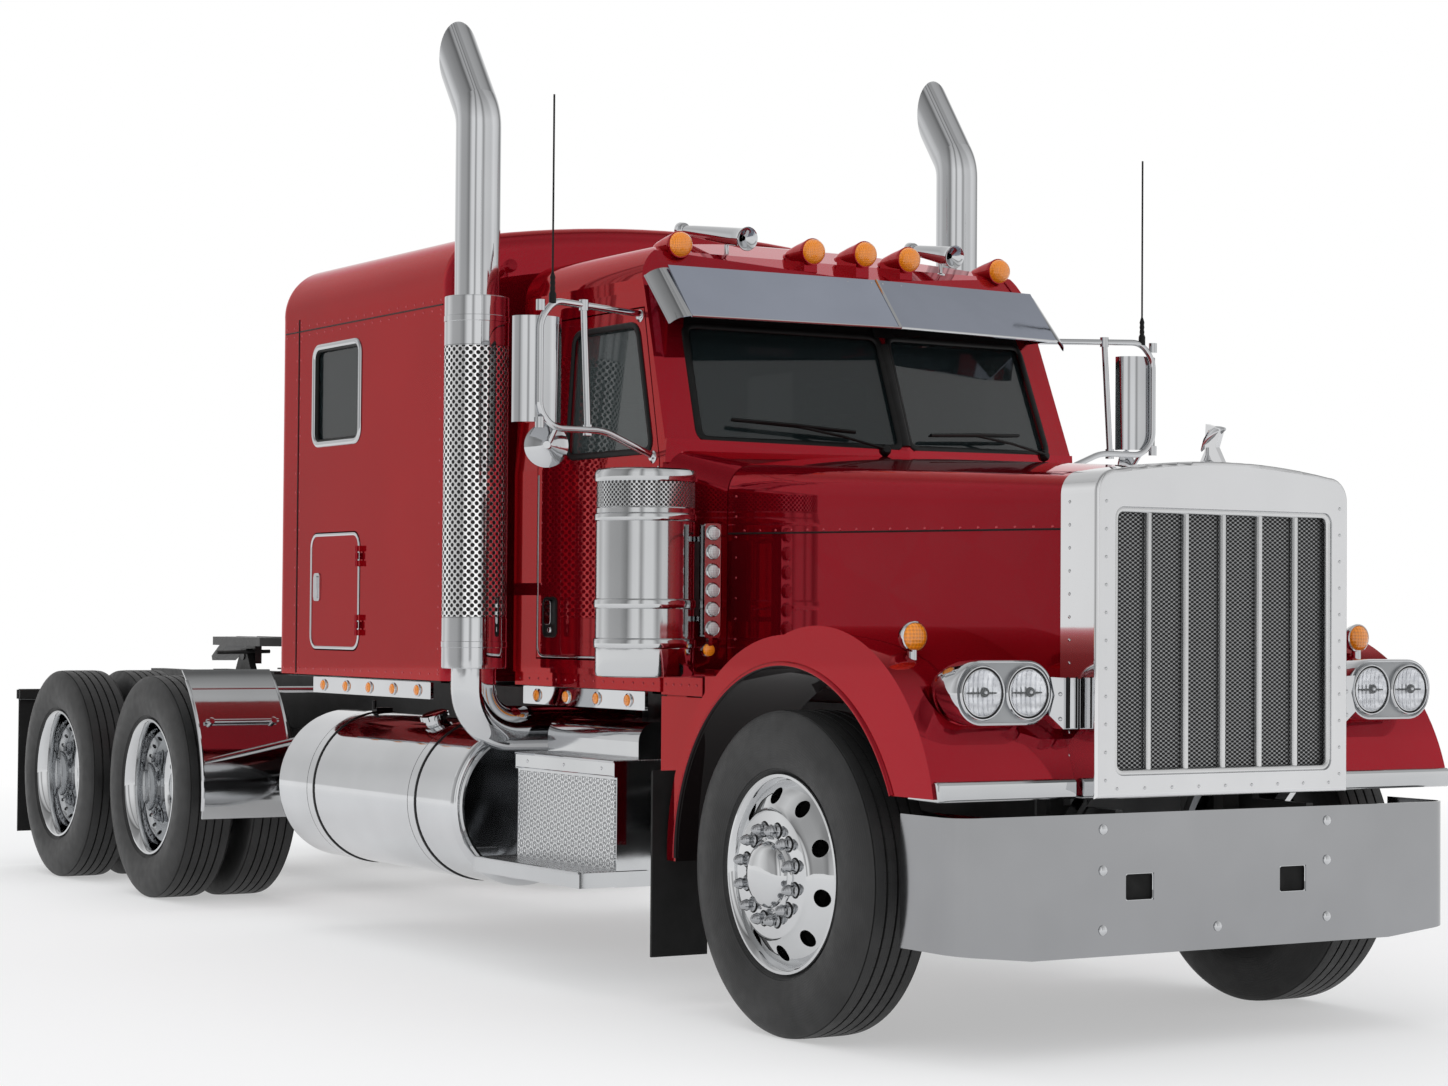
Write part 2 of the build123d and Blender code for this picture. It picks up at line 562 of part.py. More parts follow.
# ============================================================================
# Front end
# ============================================================================
with BuildPart() as bumper:
    with BuildSketch(Plane.XY.offset(BUMPER_Z[0])) as plan:
        with Locations((0, BUMPER_Y + BUMPER_RETURN / 2)):
            Rectangle(2 * BUMPER_HALF, BUMPER_RETURN)
        fillet(plan.vertices().group_by(Axis.Y)[0], BUMPER_CORNER)
        with BuildSketch(mode=Mode.PRIVATE) as hollow:
            with Locations((0, BUMPER_Y + BUMPER_WALL + BUMPER_RETURN / 2)):
                Rectangle(2 * (BUMPER_HALF - BUMPER_WALL), BUMPER_RETURN)
            fillet(hollow.vertices().group_by(Axis.Y)[0], BUMPER_CORNER - BUMPER_WALL)
        add(hollow.sketch, mode=Mode.SUBTRACT)
    extrude(plan.sketch, amount=BUMPER_Z[1] - BUMPER_Z[0])
    for _, side in SIDES:
        prism(front_view(BUMPER_Y - 50),
              ((side * BUMPER_FLAT_HALF, BUMPER_Z[0]), (side * (BUMPER_HALF + 20), BUMPER_END_Z),
               (side * (BUMPER_HALF + 20), BUMPER_Z[0])), -BUMPER_RETURN - 100,
              mode=Mode.SUBTRACT)
        block((side * TOW_X - TOW_SIZE[0] / 2, side * TOW_X + TOW_SIZE[0] / 2),
              (BUMPER_Y - 10, BUMPER_Y + 20), (TOW_Z - TOW_SIZE[1] / 2, TOW_Z + TOW_SIZE[1] / 2),
              mode=Mode.SUBTRACT)
save(bumper, "bumper")

with BuildPart() as grille_shell:
    outline = arch_face(front_view(FRONT + SHELL_DEPTH), SHELL_HALF, SHELL_Z[0], SHELL_SIDE_TOP,
                        SHELL_SHOULDER, SHELL_Z[1])
    extrude(outline, amount=SHELL_DEPTH)
    fillet(grille_shell.faces().sort_by(Axis.Y)[0].edges(), 14)
    inside = arch_face(front_view(FRONT + SHELL_DEPTH), SHELL_HALF - SHELL_WALL,
                       SHELL_Z[0] + SHELL_WALL, SHELL_SIDE_TOP,
                       (SHELL_SHOULDER[0] - SHELL_WALL, SHELL_SHOULDER[1] - SHELL_WALL),
                       SHELL_Z[1] - SHELL_WALL)
    extrude(inside, amount=SHELL_DEPTH - 30, mode=Mode.SUBTRACT)
    mouth = round_rect(front_view(FRONT + SHELL_DEPTH), (-GRILLE_HALF, GRILLE_HALF), GRILLE_Z,
                       GRILLE_CORNER)
    extrude(mouth, amount=SHELL_DEPTH + 10, mode=Mode.SUBTRACT)
    # goose-neck arms down to the pivot pins
    for _, side in SIDES:
        arm_x = side * sum(HOOD_ARM_X) / 2
        half = (HOOD_ARM_X[1] - HOOD_ARM_X[0]) / 2
        prism(side_view(arm_x), [(HOOD_PIVOT[0] + y, HOOD_PIVOT[1] + z) for y, z in HOOD_ARM],
              half, both=True)
        rod((arm_x - half, *HOOD_PIVOT), (arm_x + half, *HOOD_PIVOT), HOOD_PIN_R + 16)
        rod((arm_x - half, *HOOD_PIVOT), (arm_x + half, *HOOD_PIVOT), HOOD_PIN_R + PIN_GAP,
            mode=Mode.SUBTRACT)
    # hood ornament: a plain streamlined fin
    prism(side_view(0), ((FRONT + 10, SHELL_Z[1] - 6), (FRONT + 130, SHELL_Z[1] - 6),
                         (FRONT + 100, SHELL_Z[1] + 40), (FRONT + 95, SHELL_Z[1] + 130),
                         (FRONT + 20, SHELL_Z[1] + 110), (FRONT + 45, SHELL_Z[1] + 50)),
          9, both=True)
save(grille_shell, "grille_shell")

with BuildPart() as grille:
    mesh = round_rect(front_view(FRONT + 44), (-GRILLE_HALF + SEAT_GAP, GRILLE_HALF - SEAT_GAP),
                      (GRILLE_Z[0] + SEAT_GAP, GRILLE_Z[1] - SEAT_GAP), GRILLE_CORNER)
    extrude(mesh, amount=18)
    for bar_x in GRILLE_BARS_X:
        block((bar_x - GRILLE_BAR[0] / 2, bar_x + GRILLE_BAR[0] / 2),
              (FRONT + 26 - GRILLE_BAR[1], FRONT + 30), (GRILLE_Z[0] + 1, GRILLE_Z[1] - 1))
save(grille, "grille")


def hood_section(y, section, inset):
    half, side_z, shoulder_x, shoulder_z, crown_z = section
    foot = HOOD_SILL_Z - (50 if inset else 0)
    return arch_face(front_view(y), half - inset, foot, side_z,
                     (shoulder_x - inset, shoulder_z - inset), crown_z - inset)


def hood_side_x(y):
    """Half width of the hood side at y."""
    share = (y - HOOD_FRONT_Y) / (HOOD_REAR_Y - HOOD_FRONT_Y)
    return HOOD_FRONT_SECTION[0] + share * (HOOD_REAR_SECTION[0] - HOOD_FRONT_SECTION[0])


with BuildPart() as hood:
    loft([hood_section(HOOD_FRONT_Y, HOOD_FRONT_SECTION, 0),
          hood_section(HOOD_REAR_Y, HOOD_REAR_SECTION, 0)], ruled=True)
    loft([hood_section(HOOD_FRONT_Y, HOOD_FRONT_SECTION, HOOD_WALL),
          hood_section(HOOD_REAR_Y, HOOD_REAR_SECTION, HOOD_WALL)], ruled=True,
         mode=Mode.SUBTRACT)
save(hood, "hood")


def pod_face(y, side, grow):
    """Capsule that holds the two lamps of one side."""
    with BuildSketch(front_view(y)) as face:
        with Locations((side * (LAMP_X[0] + LAMP_X[1]) / 2, LAMP_Z)):
            SlotOverall(LAMP_X[1] - LAMP_X[0] + 2 * (POD_R + grow), 2 * (POD_R + grow))
    return face.sketch


with BuildPart() as fenders:
    for _, side in SIDES:
        crown_top = (FENDER_ARCH_Y, AXLE_Z + FENDER_CROWN_R)
        rear_z = FENDER_REAR_Z
        outer_rear = (FENDER_ARCH_Y + math.sqrt(FENDER_CROWN_R ** 2 - (rear_z - AXLE_Z) ** 2)
                      - (FENDER_CROWN_R - FENDER_LIP_R[1]), rear_z)
        with BuildSketch(side_view(0)) as profile:
            with BuildLine():
                Line(FENDER_FRONT, (STEER_Y - 640, FENDER_FRONT[1]))
                Line((STEER_Y - 640, FENDER_FRONT[1]), (STEER_Y, FENDER_FRONT[1]))
                Line((STEER_Y, FENDER_FRONT[1]), (STEER_Y, rear_z))
                Line((STEER_Y, rear_z), outer_rear)
                ThreePointArc(outer_rear, (FENDER_ARCH_Y + 545, AXLE_Z + 560), crown_top)
                ThreePointArc(crown_top, FENDER_BROW, FENDER_FRONT)
            make_face()
        skin = extrude(profile.sketch, amount=side * FENDER_X, mode=Mode.PRIVATE)
        add(skin)
        with BuildSketch(side_view(0)) as wheel_house:
            with Locations((FENDER_ARCH_Y, AXLE_Z)):
                Circle(FENDER_LIP_R[0])
        extrude(wheel_house.sketch, amount=side * (FENDER_X + 10), mode=Mode.SUBTRACT)
    plan_cut = [(-hood_side_x(FRONT) - SEAT_GAP, FRONT), (hood_side_x(FRONT) + SEAT_GAP, FRONT),
                (hood_side_x(HOOD_REAR_Y) + SEAT_GAP, HOOD_REAR_Y),
                (-hood_side_x(HOOD_REAR_Y) - SEAT_GAP, HOOD_REAR_Y)]
    prism(Plane.XY.offset(300), plan_cut, 1300, mode=Mode.SUBTRACT)
    block((-SHELL_HALF - SEAT_GAP, SHELL_HALF + SEAT_GAP), (FRONT - 10, HOOD_FRONT_Y + SEAT_GAP),
          (SHELL_Z[0] - 10, SHELL_Z[1]), mode=Mode.SUBTRACT)
    for _, side in SIDES:
        # rolled edge of the wheel arch
        bead_r = FENDER_LIP_R[0] + FENDER_BEAD_R - FENDER_BEAD_IN
        with BuildSketch(Plane(origin=(side * (FENDER_X - 2), FENDER_ARCH_Y + bead_r, AXLE_Z),
                               x_dir=(1, 0, 0), z_dir=(0, 0, 1))) as bead:
            Circle(FENDER_BEAD_R)
        front_turn = math.degrees(math.asin((FENDER_FRONT[1] - AXLE_Z) / bead_r))
        revolve(bead.sketch, axis=Axis((0, FENDER_ARCH_Y, AXLE_Z), (1, 0, 0)),
                revolution_arc=180 - front_turn)
        extrude(pod_face(LAMP_Y + POD_DEPTH + 2, side, 2), amount=POD_DEPTH + 40,
                mode=Mode.SUBTRACT)
        rod((side * TURN_LAMP[0], TURN_LAMP[1], 1000),
            (side * TURN_LAMP[0], TURN_LAMP[1], 1450), 18 + SEAT_GAP, mode=Mode.SUBTRACT)
save(fenders, "fenders")

with BuildPart() as front_lamps:
    for _, side in SIDES:
        extrude(pod_face(LAMP_Y + POD_DEPTH, side, -18), amount=20)
        loft([pod_face(LAMP_Y + POD_DEPTH - 20, side, -18), pod_face(LAMP_Y + 60, side, 0)])
        extrude(pod_face(LAMP_Y + 60, side, 0), amount=60)
        bracket_y = HOOD_FRONT_Y - 60
        block((side * (SHELL_HALF + SEAT_GAP), side * (LAMP_X[0] - 60)),
              (bracket_y - 40, bracket_y), (LAMP_Z - 55, LAMP_Z + 45))
        rod((side * TURN_LAMP[0], TURN_LAMP[1], TURN_LAMP[2] - 110),
            (side * TURN_LAMP[0], TURN_LAMP[1], TURN_LAMP[2]), 18)
        with Locations((side * TURN_LAMP[0], TURN_LAMP[1], TURN_LAMP[2])):
            Sphere(TURN_LAMP_R)
save(front_lamps, "front_lamps")

# ============================================================================
# Cab
# ============================================================================
def cab_face(y, inset):
    """Front view of the cab above the cowl: belt, sloped side, eave and roof."""
    rise = math.sin(math.radians(45))
    half, eave = CAB_HALF - inset, (CAB_EAVE[0] - inset, CAB_EAVE[1])
    shoulder = (CAB_SHOULDER[0] - inset / 2, CAB_SHOULDER[1] - inset)
    knee = (eave[0] - (eave[0] - shoulder[0]) * (1 - rise),
            eave[1] + (shoulder[1] - eave[1]) * rise)
    foot = CAB_SILL_Z + inset
    with BuildSketch(front_view(y)) as face:
        with BuildLine():
            Polyline((-eave[0], eave[1]), (-half, CAB_BELT_Z), (-half, foot), (half, foot),
                     (half, CAB_BELT_Z), eave)
            ThreePointArc(eave, knee, shoulder)
            ThreePointArc(shoulder, (0, CAB_CROWN_Z - inset), (-shoulder[0], shoulder[1]))
            ThreePointArc((-shoulder[0], shoulder[1]), (-knee[0], knee[1]), (-eave[0], eave[1]))
        make_face()
    return face.sketch


def shield_plane(side, depth=0.0):
    """Plane of one windshield half, sunk by depth behind the outer surface.

    Local x runs outwards from the middle times side, local y up the glass."""
    foot = Vector(*SHIELD_FOOT)
    corner = Vector(side * SHIELD_CORNER[0], SHIELD_CORNER[1], SHIELD_CORNER[2])
    head = Vector(*SHIELD_HEAD)
    across = (corner - foot).normalized() * side
    normal = across.cross(head - foot).normalized()
    return Plane(origin=foot - normal * depth, x_dir=across, z_dir=normal)


def pane_points(side, grow):
    """Corners of one windshield pane in its plane's own axes, beside the middle line."""
    middle = shield_plane(side).to_local_coords(Vector(*SHIELD_HEAD))
    lean = middle.X / middle.Y
    foot, head = PANE_FOOT - grow, PANE_HEAD + grow
    return ((lean * foot + side * (PANE_INNER - grow), foot),
            (side * (PANE_OUTER - 20 + grow), foot - 5),
            (side * (PANE_OUTER + grow), head),
            (lean * head + side * (PANE_INNER - grow), head))


def roof_cutter(inset):
    """Side view of what lies ahead of and above the roof's front slope."""
    base_y = SHIELD_HEAD[1] + inset
    return ((base_y - 400, ROOF_FRONT_Z - inset), (base_y + 70, ROOF_FRONT_Z - inset),
            (base_y + 320, CAB_SHOULDER[1] - 25 - inset), (base_y + 620, CAB_CROWN_Z - 12 - inset),
            (base_y + 900, CAB_CROWN_Z + 40 - inset), (base_y + 900, CAB_CROWN_Z + 300),
            (base_y - 400, CAB_CROWN_Z + 300))


def door_outline(grow):
    """Door edge in side view: front, sill, rear and the sloped top."""
    return ((DOOR_Y[0] - grow, DOOR_Z[0] - grow), (DOOR_Y[1] + grow, DOOR_Z[0] - grow),
            (DOOR_Y[1] + grow, DOOR_Z[1] + grow), (DOOR_Y[0] + DOOR_LEAN - grow, DOOR_Z[1] + grow),
            (DOOR_Y[0] - grow, DOOR_WINDOW_Z[0] - 40))


def side_band(side, inset):
    """Front view of the cab's side wall, reaching inset further in than its thickness."""
    inner = WALL + inset
    return ((side * (CAB_HALF - inner), CAB_SILL_Z), (side * (CAB_HALF + 60), CAB_SILL_Z),
            (side * (CAB_HALF + 60), DOOR_Z[1] + 100), (side * (CAB_EAVE[0] - inner), DOOR_Z[1] + 100),
            (side * (CAB_EAVE[0] - inner), CAB_EAVE[1]), (side * (CAB_HALF - inner), CAB_BELT_Z))


def door_volume(side, grow):
    """Space of one door, grown on all its edges and inwards."""
    with BuildPart() as volume:
        prism(side_view(side * (CAB_HALF - 200)), door_outline(grow), side * 300)
        prism(front_view(CAB_REAR_Y), side_band(side, grow), 2000, mode=Mode.INTERSECT)
    return volume.part


def door_window(grow):
    low, high = DOOR_WINDOW_Z
    return ((DOOR_WINDOW_Y[0] - grow, low - grow), (DOOR_WINDOW_Y[1] + grow, low - grow),
            (DOOR_WINDOW_Y[1] + grow, high + grow),
            (DOOR_WINDOW_Y[0] + DOOR_WINDOW_LEAN - grow, high + grow))


# outer and inner volumes of the cab, used by the body and by the doors
with BuildPart() as cab_outer:
    extrude(cab_face(CAB_REAR_Y, 0), amount=CAB_REAR_Y - COWL_JOIN_Y)
    loft([arch_face(front_view(COWL_Y), HOOD_REAR_SECTION[0], HOOD_SILL_Z, HOOD_REAR_SECTION[1],
                    (HOOD_REAR_SECTION[2], HOOD_REAR_SECTION[3]), HOOD_REAR_SECTION[4]),
          arch_face(front_view(COWL_JOIN_Y), CAB_HALF, CAB_SILL_Z, CAB_BELT_Z - 40,
                    (CAB_HALF - 60, SHELF_Z - 5), SHELF_Z + 12)], ruled=True)
    nose_y = SHIELD_FOOT[1] - SHELF_NOSE
    side_y = nose_y + CAB_HALF * (SHIELD_CORNER[1] - SHIELD_FOOT[1]) / SHIELD_CORNER[0]
    prism(Plane.XY.offset(SHELF_Z - 60),
          ((0, nose_y), (CAB_HALF, side_y), (CAB_HALF, COWL_JOIN_Y + 60),
           (-CAB_HALF, COWL_JOIN_Y + 60), (-CAB_HALF, side_y)), CAB_CROWN_Z - SHELF_Z + 60)
    for _, side in SIDES:
        with BuildSketch(shield_plane(side)) as ahead:
            with Locations((0, 1300)):
                Rectangle(4000, 2600)
        extrude(ahead.sketch, amount=900, mode=Mode.SUBTRACT)
    prism(side_view(0), roof_cutter(0), 1200, both=True, mode=Mode.SUBTRACT)
    # keep the greenhouse inside the cab's own section
    side_cut = CAB_HALF + 50
    for _, side in SIDES:
        prism(front_view(CAB_REAR_Y + 50),
              ((side * CAB_HALF, CAB_BELT_Z), (side * CAB_EAVE[0], CAB_EAVE[1]),
               (side * CAB_EAVE[0], CAB_CROWN_Z + 50), (side * side_cut, CAB_CROWN_Z + 50),
               (side * side_cut, CAB_BELT_Z)), 2000, mode=Mode.SUBTRACT)

with BuildPart() as cab_inner:
    extrude(cab_face(CAB_REAR_Y - WALL, WALL), amount=CAB_REAR_Y - WALL - SHIELD_FOOT[1])
    block((-CAB_HALF, CAB_HALF), (SHIELD_FOOT[1] - 10, FIREWALL_Y), (CAB_SILL_Z, SHELF_Z + 12),
          mode=Mode.SUBTRACT)
    for _, side in SIDES:
        with BuildSketch(shield_plane(side, WALL)) as ahead:
            with Locations((0, 1100)):
                Rectangle(4000, 3040)
        extrude(ahead.sketch, amount=900, mode=Mode.SUBTRACT)
    prism(side_view(0), roof_cutter(WALL), 1200, both=True, mode=Mode.SUBTRACT)

with BuildPart() as cab_body:
    add(cab_outer.part)
    add(cab_inner.part, mode=Mode.SUBTRACT)
    for _, side in SIDES:
        with BuildSketch(shield_plane(side, WALL + 20)) as pane:
            with BuildLine():
                Polyline(*pane_points(side, 0), close=True)
            make_face()
        extrude(pane.sketch, amount=WALL + 60, mode=Mode.SUBTRACT)
        add(door_volume(side, RUN_GAP), mode=Mode.SUBTRACT)
        # cowl skirt behind the front wheel
        block((side * (CAB_HALF - 70), side * (CAB_HALF - 15)),
              (COWL_Y - 40, DOOR_Y[0] - RUN_GAP), (FENDER_REAR_Z, COWL_SKIRT_TOP))
        block((side * (CAB_HALF - 70), side * (CAB_HALF - 40)),
              (COWL_JOIN_Y - 120, DOOR_Y[0] - RUN_GAP), (COWL_SKIRT_TOP - 1, CAB_SILL_Z + 5))
        for hinge_z in DOOR_HINGE_Z:
            hinge_lugs(side, CAB_HALF, DOOR_HINGE_Y, hinge_z)
    # walk-through opening to the sleeper
    block((-BOOT_HALF + 30, BOOT_HALF - 30), (CAB_REAR_Y - WALL - 5, CAB_REAR_Y + 5),
          (BOOT_Z[0] + 30, BOOT_Z[1] - 30), mode=Mode.SUBTRACT)
save(cab_body, "cab_body")

with BuildPart() as dash:
    block((-CAB_HALF + WALL + 1, CAB_HALF - WALL - 1), (FIREWALL_Y + 1, FIREWALL_Y + 290),
          (1700, 2010))
    prism(side_view(0), ((FIREWALL_Y + 185, 1690), (FIREWALL_Y + 300, 1690),
                         (FIREWALL_Y + 300, 1930)), CAB_HALF, both=True, mode=Mode.SUBTRACT)
    add(cab_inner.part, mode=Mode.INTERSECT)
save(dash, "dash")

WHEEL_C = (500.0, STEER_Y + 1530.0, 1990.0)
WHEEL_TILT = 38.0
COLUMN_LENGTH = 800.0
with BuildPart() as steering_wheel:
    hub = Plane(origin=WHEEL_C, x_dir=(1, 0, 0),
                z_dir=(0, math.sin(math.radians(WHEEL_TILT)), math.cos(math.radians(WHEEL_TILT))))
    with BuildSketch(Plane(origin=hub.from_local_coords((225, 0, 0)), x_dir=(1, 0, 0),
                           z_dir=hub.y_dir)) as grip:
        Circle(15)
    revolve(grip.sketch, axis=Axis(hub.origin, hub.z_dir))
    with BuildSketch(hub.offset(-12)):
        Circle(60)
        Rectangle(440, 34)
        with Locations((0, -110)):
            Rectangle(34, 220)
    extrude(amount=20)
    rod(tuple(hub.origin), tuple(hub.from_local_coords((0, 0, -COLUMN_LENGTH))), 32)
    block((WHEEL_C[0] - 60, WHEEL_C[0] + 60), (FIREWALL_Y - 200, FIREWALL_Y + SEAT_GAP),
          (1200, 1600), mode=Mode.SUBTRACT)
save(steering_wheel, "steering_wheel")

SEAT_Y = (STEER_Y + 1676.0, STEER_Y + 2120.0)
for name, side in SIDES:
    with BuildPart() as seat:
        across = (side * 500 - 245, side * 500 + 245)
        block((side * 500 - 150, side * 500 + 150), (SEAT_Y[0] + 60, SEAT_Y[1] - 60),
              (CAB_SILL_Z + WALL, 1600))
        block(across, SEAT_Y, (1600, 1740))
        prism(side_view(side * 500), ((SEAT_Y[1] - 110, 1740), (SEAT_Y[1], 1740),
                                      (SEAT_Y[1] + 60, 2440), (SEAT_Y[1] - 30, 2440)), 235,
              both=True)
    save(seat, f"seat_{name}")

# doors with their windows, cut from the same shell as the cab
for name, side in SIDES:
    with BuildPart() as door:
        add(door_volume(side, 0))
        add(cab_outer.part, mode=Mode.INTERSECT)
        prism(side_view(side * (CAB_HALF - 160)), door_window(0), side * 270,
              mode=Mode.SUBTRACT)
        for hinge_z in DOOR_HINGE_Z:
            hinge_barrel(side, CAB_HALF, DOOR_HINGE_Y, hinge_z)
    save(door, f"door_{name}")

    with BuildPart() as door_glass:
        slope = (CAB_EAVE[0] - CAB_HALF) / (CAB_EAVE[1] - CAB_BELT_Z)
        low = CAB_HALF - WALL / 2 + slope * (DOOR_WINDOW_Z[0] - CAB_BELT_Z)
        high = CAB_HALF - WALL / 2 + slope * (DOOR_WINDOW_Z[1] + 60 - CAB_BELT_Z)
        prism(front_view(DOOR_WINDOW_Y[1] + 20),
              ((side * low, DOOR_WINDOW_Z[0]), (side * (low + GLASS), DOOR_WINDOW_Z[0]),
               (side * (high + GLASS), DOOR_WINDOW_Z[1] + 60), (side * high, DOOR_WINDOW_Z[1] + 60)),
              DOOR_WINDOW_Y[1] - DOOR_WINDOW_Y[0] + 60)
        with BuildSketch(side_view(side * (CAB_HALF - 160))) as edge:
            with BuildLine():
                Polyline(*door_window(-SEAT_GAP), close=True)
            make_face()
        extrude(edge.sketch, amount=side * 270, mode=Mode.INTERSECT)
    save(door_glass, f"door_glass_{name}")

    with BuildPart() as mirror:
        foot_x = side * (CAB_HALF + 1)
        upper = ((side * (CAB_EAVE[0] + 14), STEER_Y + 1330, ARM_Z[1] - 8),
                 (side * (ARM_OUTER[0] - 60), ARM_OUTER[1] + 8, ARM_Z[1]),
                 (side * ARM_OUTER[0], ARM_OUTER[1], ARM_Z[1] - 70),
                 (side * ARM_OUTER[0], ARM_OUTER[1], ARM_Z[0] + 60),
                 (side * (ARM_OUTER[0] - 60), ARM_OUTER[1], ARM_Z[0]),
                 (side * (ARM_INNER_X - 60), ARM_OUTER[1] + 5, ARM_Z[0]),
                 (foot_x, STEER_Y + 1175, 2018))
        tube(upper, 34, ARM_R)
        rod((side * ARM_INNER_X, ARM_OUTER[1] + 20, ARM_Z[0]),
            (side * ARM_INNER_X, ARM_OUTER[1] + 20, ARM_Z[1]), ARM_R)
        block((side * MIRROR_X[0], side * MIRROR_X[1]), MIRROR_Y, MIRROR_Z)
        rod((side * 1385, ARM_OUTER[1], ARM_Z[0]), (side * 1385, MIRROR_Y[0] + 60, CONVEX_Z), 10)
        rod((side * 1385, MIRROR_Y[0] + 50, CONVEX_Z), (side * 1385, MIRROR_Y[0] + 95, CONVEX_Z),
            CONVEX_R)
        rod((side * ANTENNA[0], ANTENNA[1], ARM_Z[1] - 5), (side * ANTENNA[0], ANTENNA[1],
                                                             ANTENNA[2]), 5)
        rod((side * ANTENNA[0], ANTENNA[1], ARM_Z[1] - 5), (side * ANTENNA[0], ANTENNA[1],
                                                             ARM_Z[1] + 70), 14)
        # mounting pads on the door skin
        block((side * (CAB_HALF + SEAT_GAP), side * (CAB_HALF + 16)),
              (STEER_Y + 1150, STEER_Y + 1200), (1990, 2040))
        block((side * (CAB_EAVE[0] - 30), side * (CAB_EAVE[0] + 26)),
              (STEER_Y + 1312, STEER_Y + 1362), (ARM_Z[1] - 40, ARM_Z[1] + 10))
        add(cab_outer.part, mode=Mode.SUBTRACT)
    save(mirror, f"mirror_{name}")

with BuildPart() as cab_glass:
    for _, side in SIDES:
        with BuildSketch(shield_plane(side, 22)) as pane:
            with BuildLine():
                Polyline(*pane_points(side, -SEAT_GAP), close=True)
            make_face()
        extrude(pane.sketch, amount=GLASS)
        window = round_rect(side_view(side * (SLEEPER_HALF - 24)),
                            (SLEEPER_WINDOW_Y[0] + SEAT_GAP, SLEEPER_WINDOW_Y[1] - SEAT_GAP),
                            (SLEEPER_WINDOW_Z[0] + SEAT_GAP, SLEEPER_WINDOW_Z[1] - SEAT_GAP), 50)
        extrude(window, amount=side * GLASS)
save(cab_glass, "cab_glass")

VISOR_FOOT = (0.0, STEER_Y + 937.0, 2538.0)
VISOR_CORNER = (864.0, STEER_Y + 1066.0, 2543.0)
VISOR_TOP = (0.0, STEER_Y + 1109.0, 2739.0)
VISOR_TOP_CORNER = (864.0, STEER_Y + 1256.0, 2743.0)
with BuildPart() as sun_visor:
    for _, side in SIDES:
        foot = Vector(*VISOR_FOOT)
        corner = Vector(side * VISOR_CORNER[0], VISOR_CORNER[1], VISOR_CORNER[2])
        top_corner = Vector(side * VISOR_TOP_CORNER[0], VISOR_TOP_CORNER[1], VISOR_TOP_CORNER[2])
        top = Vector(*VISOR_TOP)
        across = (corner - foot).normalized() * side
        normal = across.cross(top - foot).normalized()
        sheet = Plane(origin=foot, x_dir=across, z_dir=normal)
        corners = [sheet.to_local_coords(v) for v in (foot, corner, top_corner, top)]
        prism(sheet, [(c.X, c.Y) for c in corners], -8)
        prism(side_view(side * VISOR_CORNER[0]),
              ((VISOR_CORNER[1], VISOR_CORNER[2]), (VISOR_CORNER[1] + 230, VISOR_CORNER[2]),
               (VISOR_CORNER[1] + 300, VISOR_TOP_CORNER[2]),
               (VISOR_TOP_CORNER[1], VISOR_TOP_CORNER[2])), -side * 8)
    # top flange back to the roof
    prism(Plane.XY.offset(VISOR_TOP[2] - 8),
          ((-864, VISOR_TOP_CORNER[1]), (0, VISOR_TOP[1]), (864, VISOR_TOP_CORNER[1]),
           (864, VISOR_TOP_CORNER[1] + 150), (0, VISOR_TOP[1] + 150),
           (-864, VISOR_TOP_CORNER[1] + 150)), 8)
    add(cab_outer.part, mode=Mode.SUBTRACT)
save(sun_visor, "sun_visor")

# columns: X, Y of the lens face, z of the lens centre below the crown
ROOF_LAMPS = ((-764.0, STEER_Y + 1330.0, -79.0), (-228.0, STEER_Y + 1215.0, -80.0),
              (0.0, STEER_Y + 1190.0, -77.0), (228.0, STEER_Y + 1215.0, -80.0),
              (764.0, STEER_Y + 1330.0, -79.0))
STRIP_THICK = 14.0
# columns: half width, y range, z range, lamps
STRIPS = ((CAB_HALF - 10, (STEER_Y + 1240.0, STEER_Y + 2215.0), (1062.0, 1133.0), 4),
          (SLEEPER_HALF - 12, (STEER_Y + 2690.0, STEER_Y + 3880.0), (1066.0, 1136.0), 5))
with BuildPart() as marker_lamps:
    for x, y, drop in ROOF_LAMPS:
        z = CAB_CROWN_Z + drop
        rod((x, y, z), (x, y + 170, z), 46)
        block((x - 40, x + 40), (y + 10, y + 160), (z - 140, z))
    add(cab_outer.part, mode=Mode.SUBTRACT)
    for half, across, up, count in STRIPS:
        sill_z = CAB_SILL_Z if half < SLEEPER_HALF - 50 else SLEEPER_SILL_Z
        for _, side in SIDES:
            block((side * (half - STRIP_THICK), side * half), across, up)
            for tab in (0.15, 0.85):
                tab_y = across[0] + tab * (across[1] - across[0])
                block((side * (half - STRIP_THICK), side * (half - 4)), (tab_y - 20, tab_y + 20),
                      (up[1] - 5, sill_z))
            for lamp in range(count):
                lamp_y = across[0] + (lamp + 0.5) * (across[1] - across[0]) / count
                rod((side * (half - 5), lamp_y, sum(up) / 2),
                    (side * (half + 16), lamp_y, sum(up) / 2), 22)
save(marker_lamps, "marker_lamps")

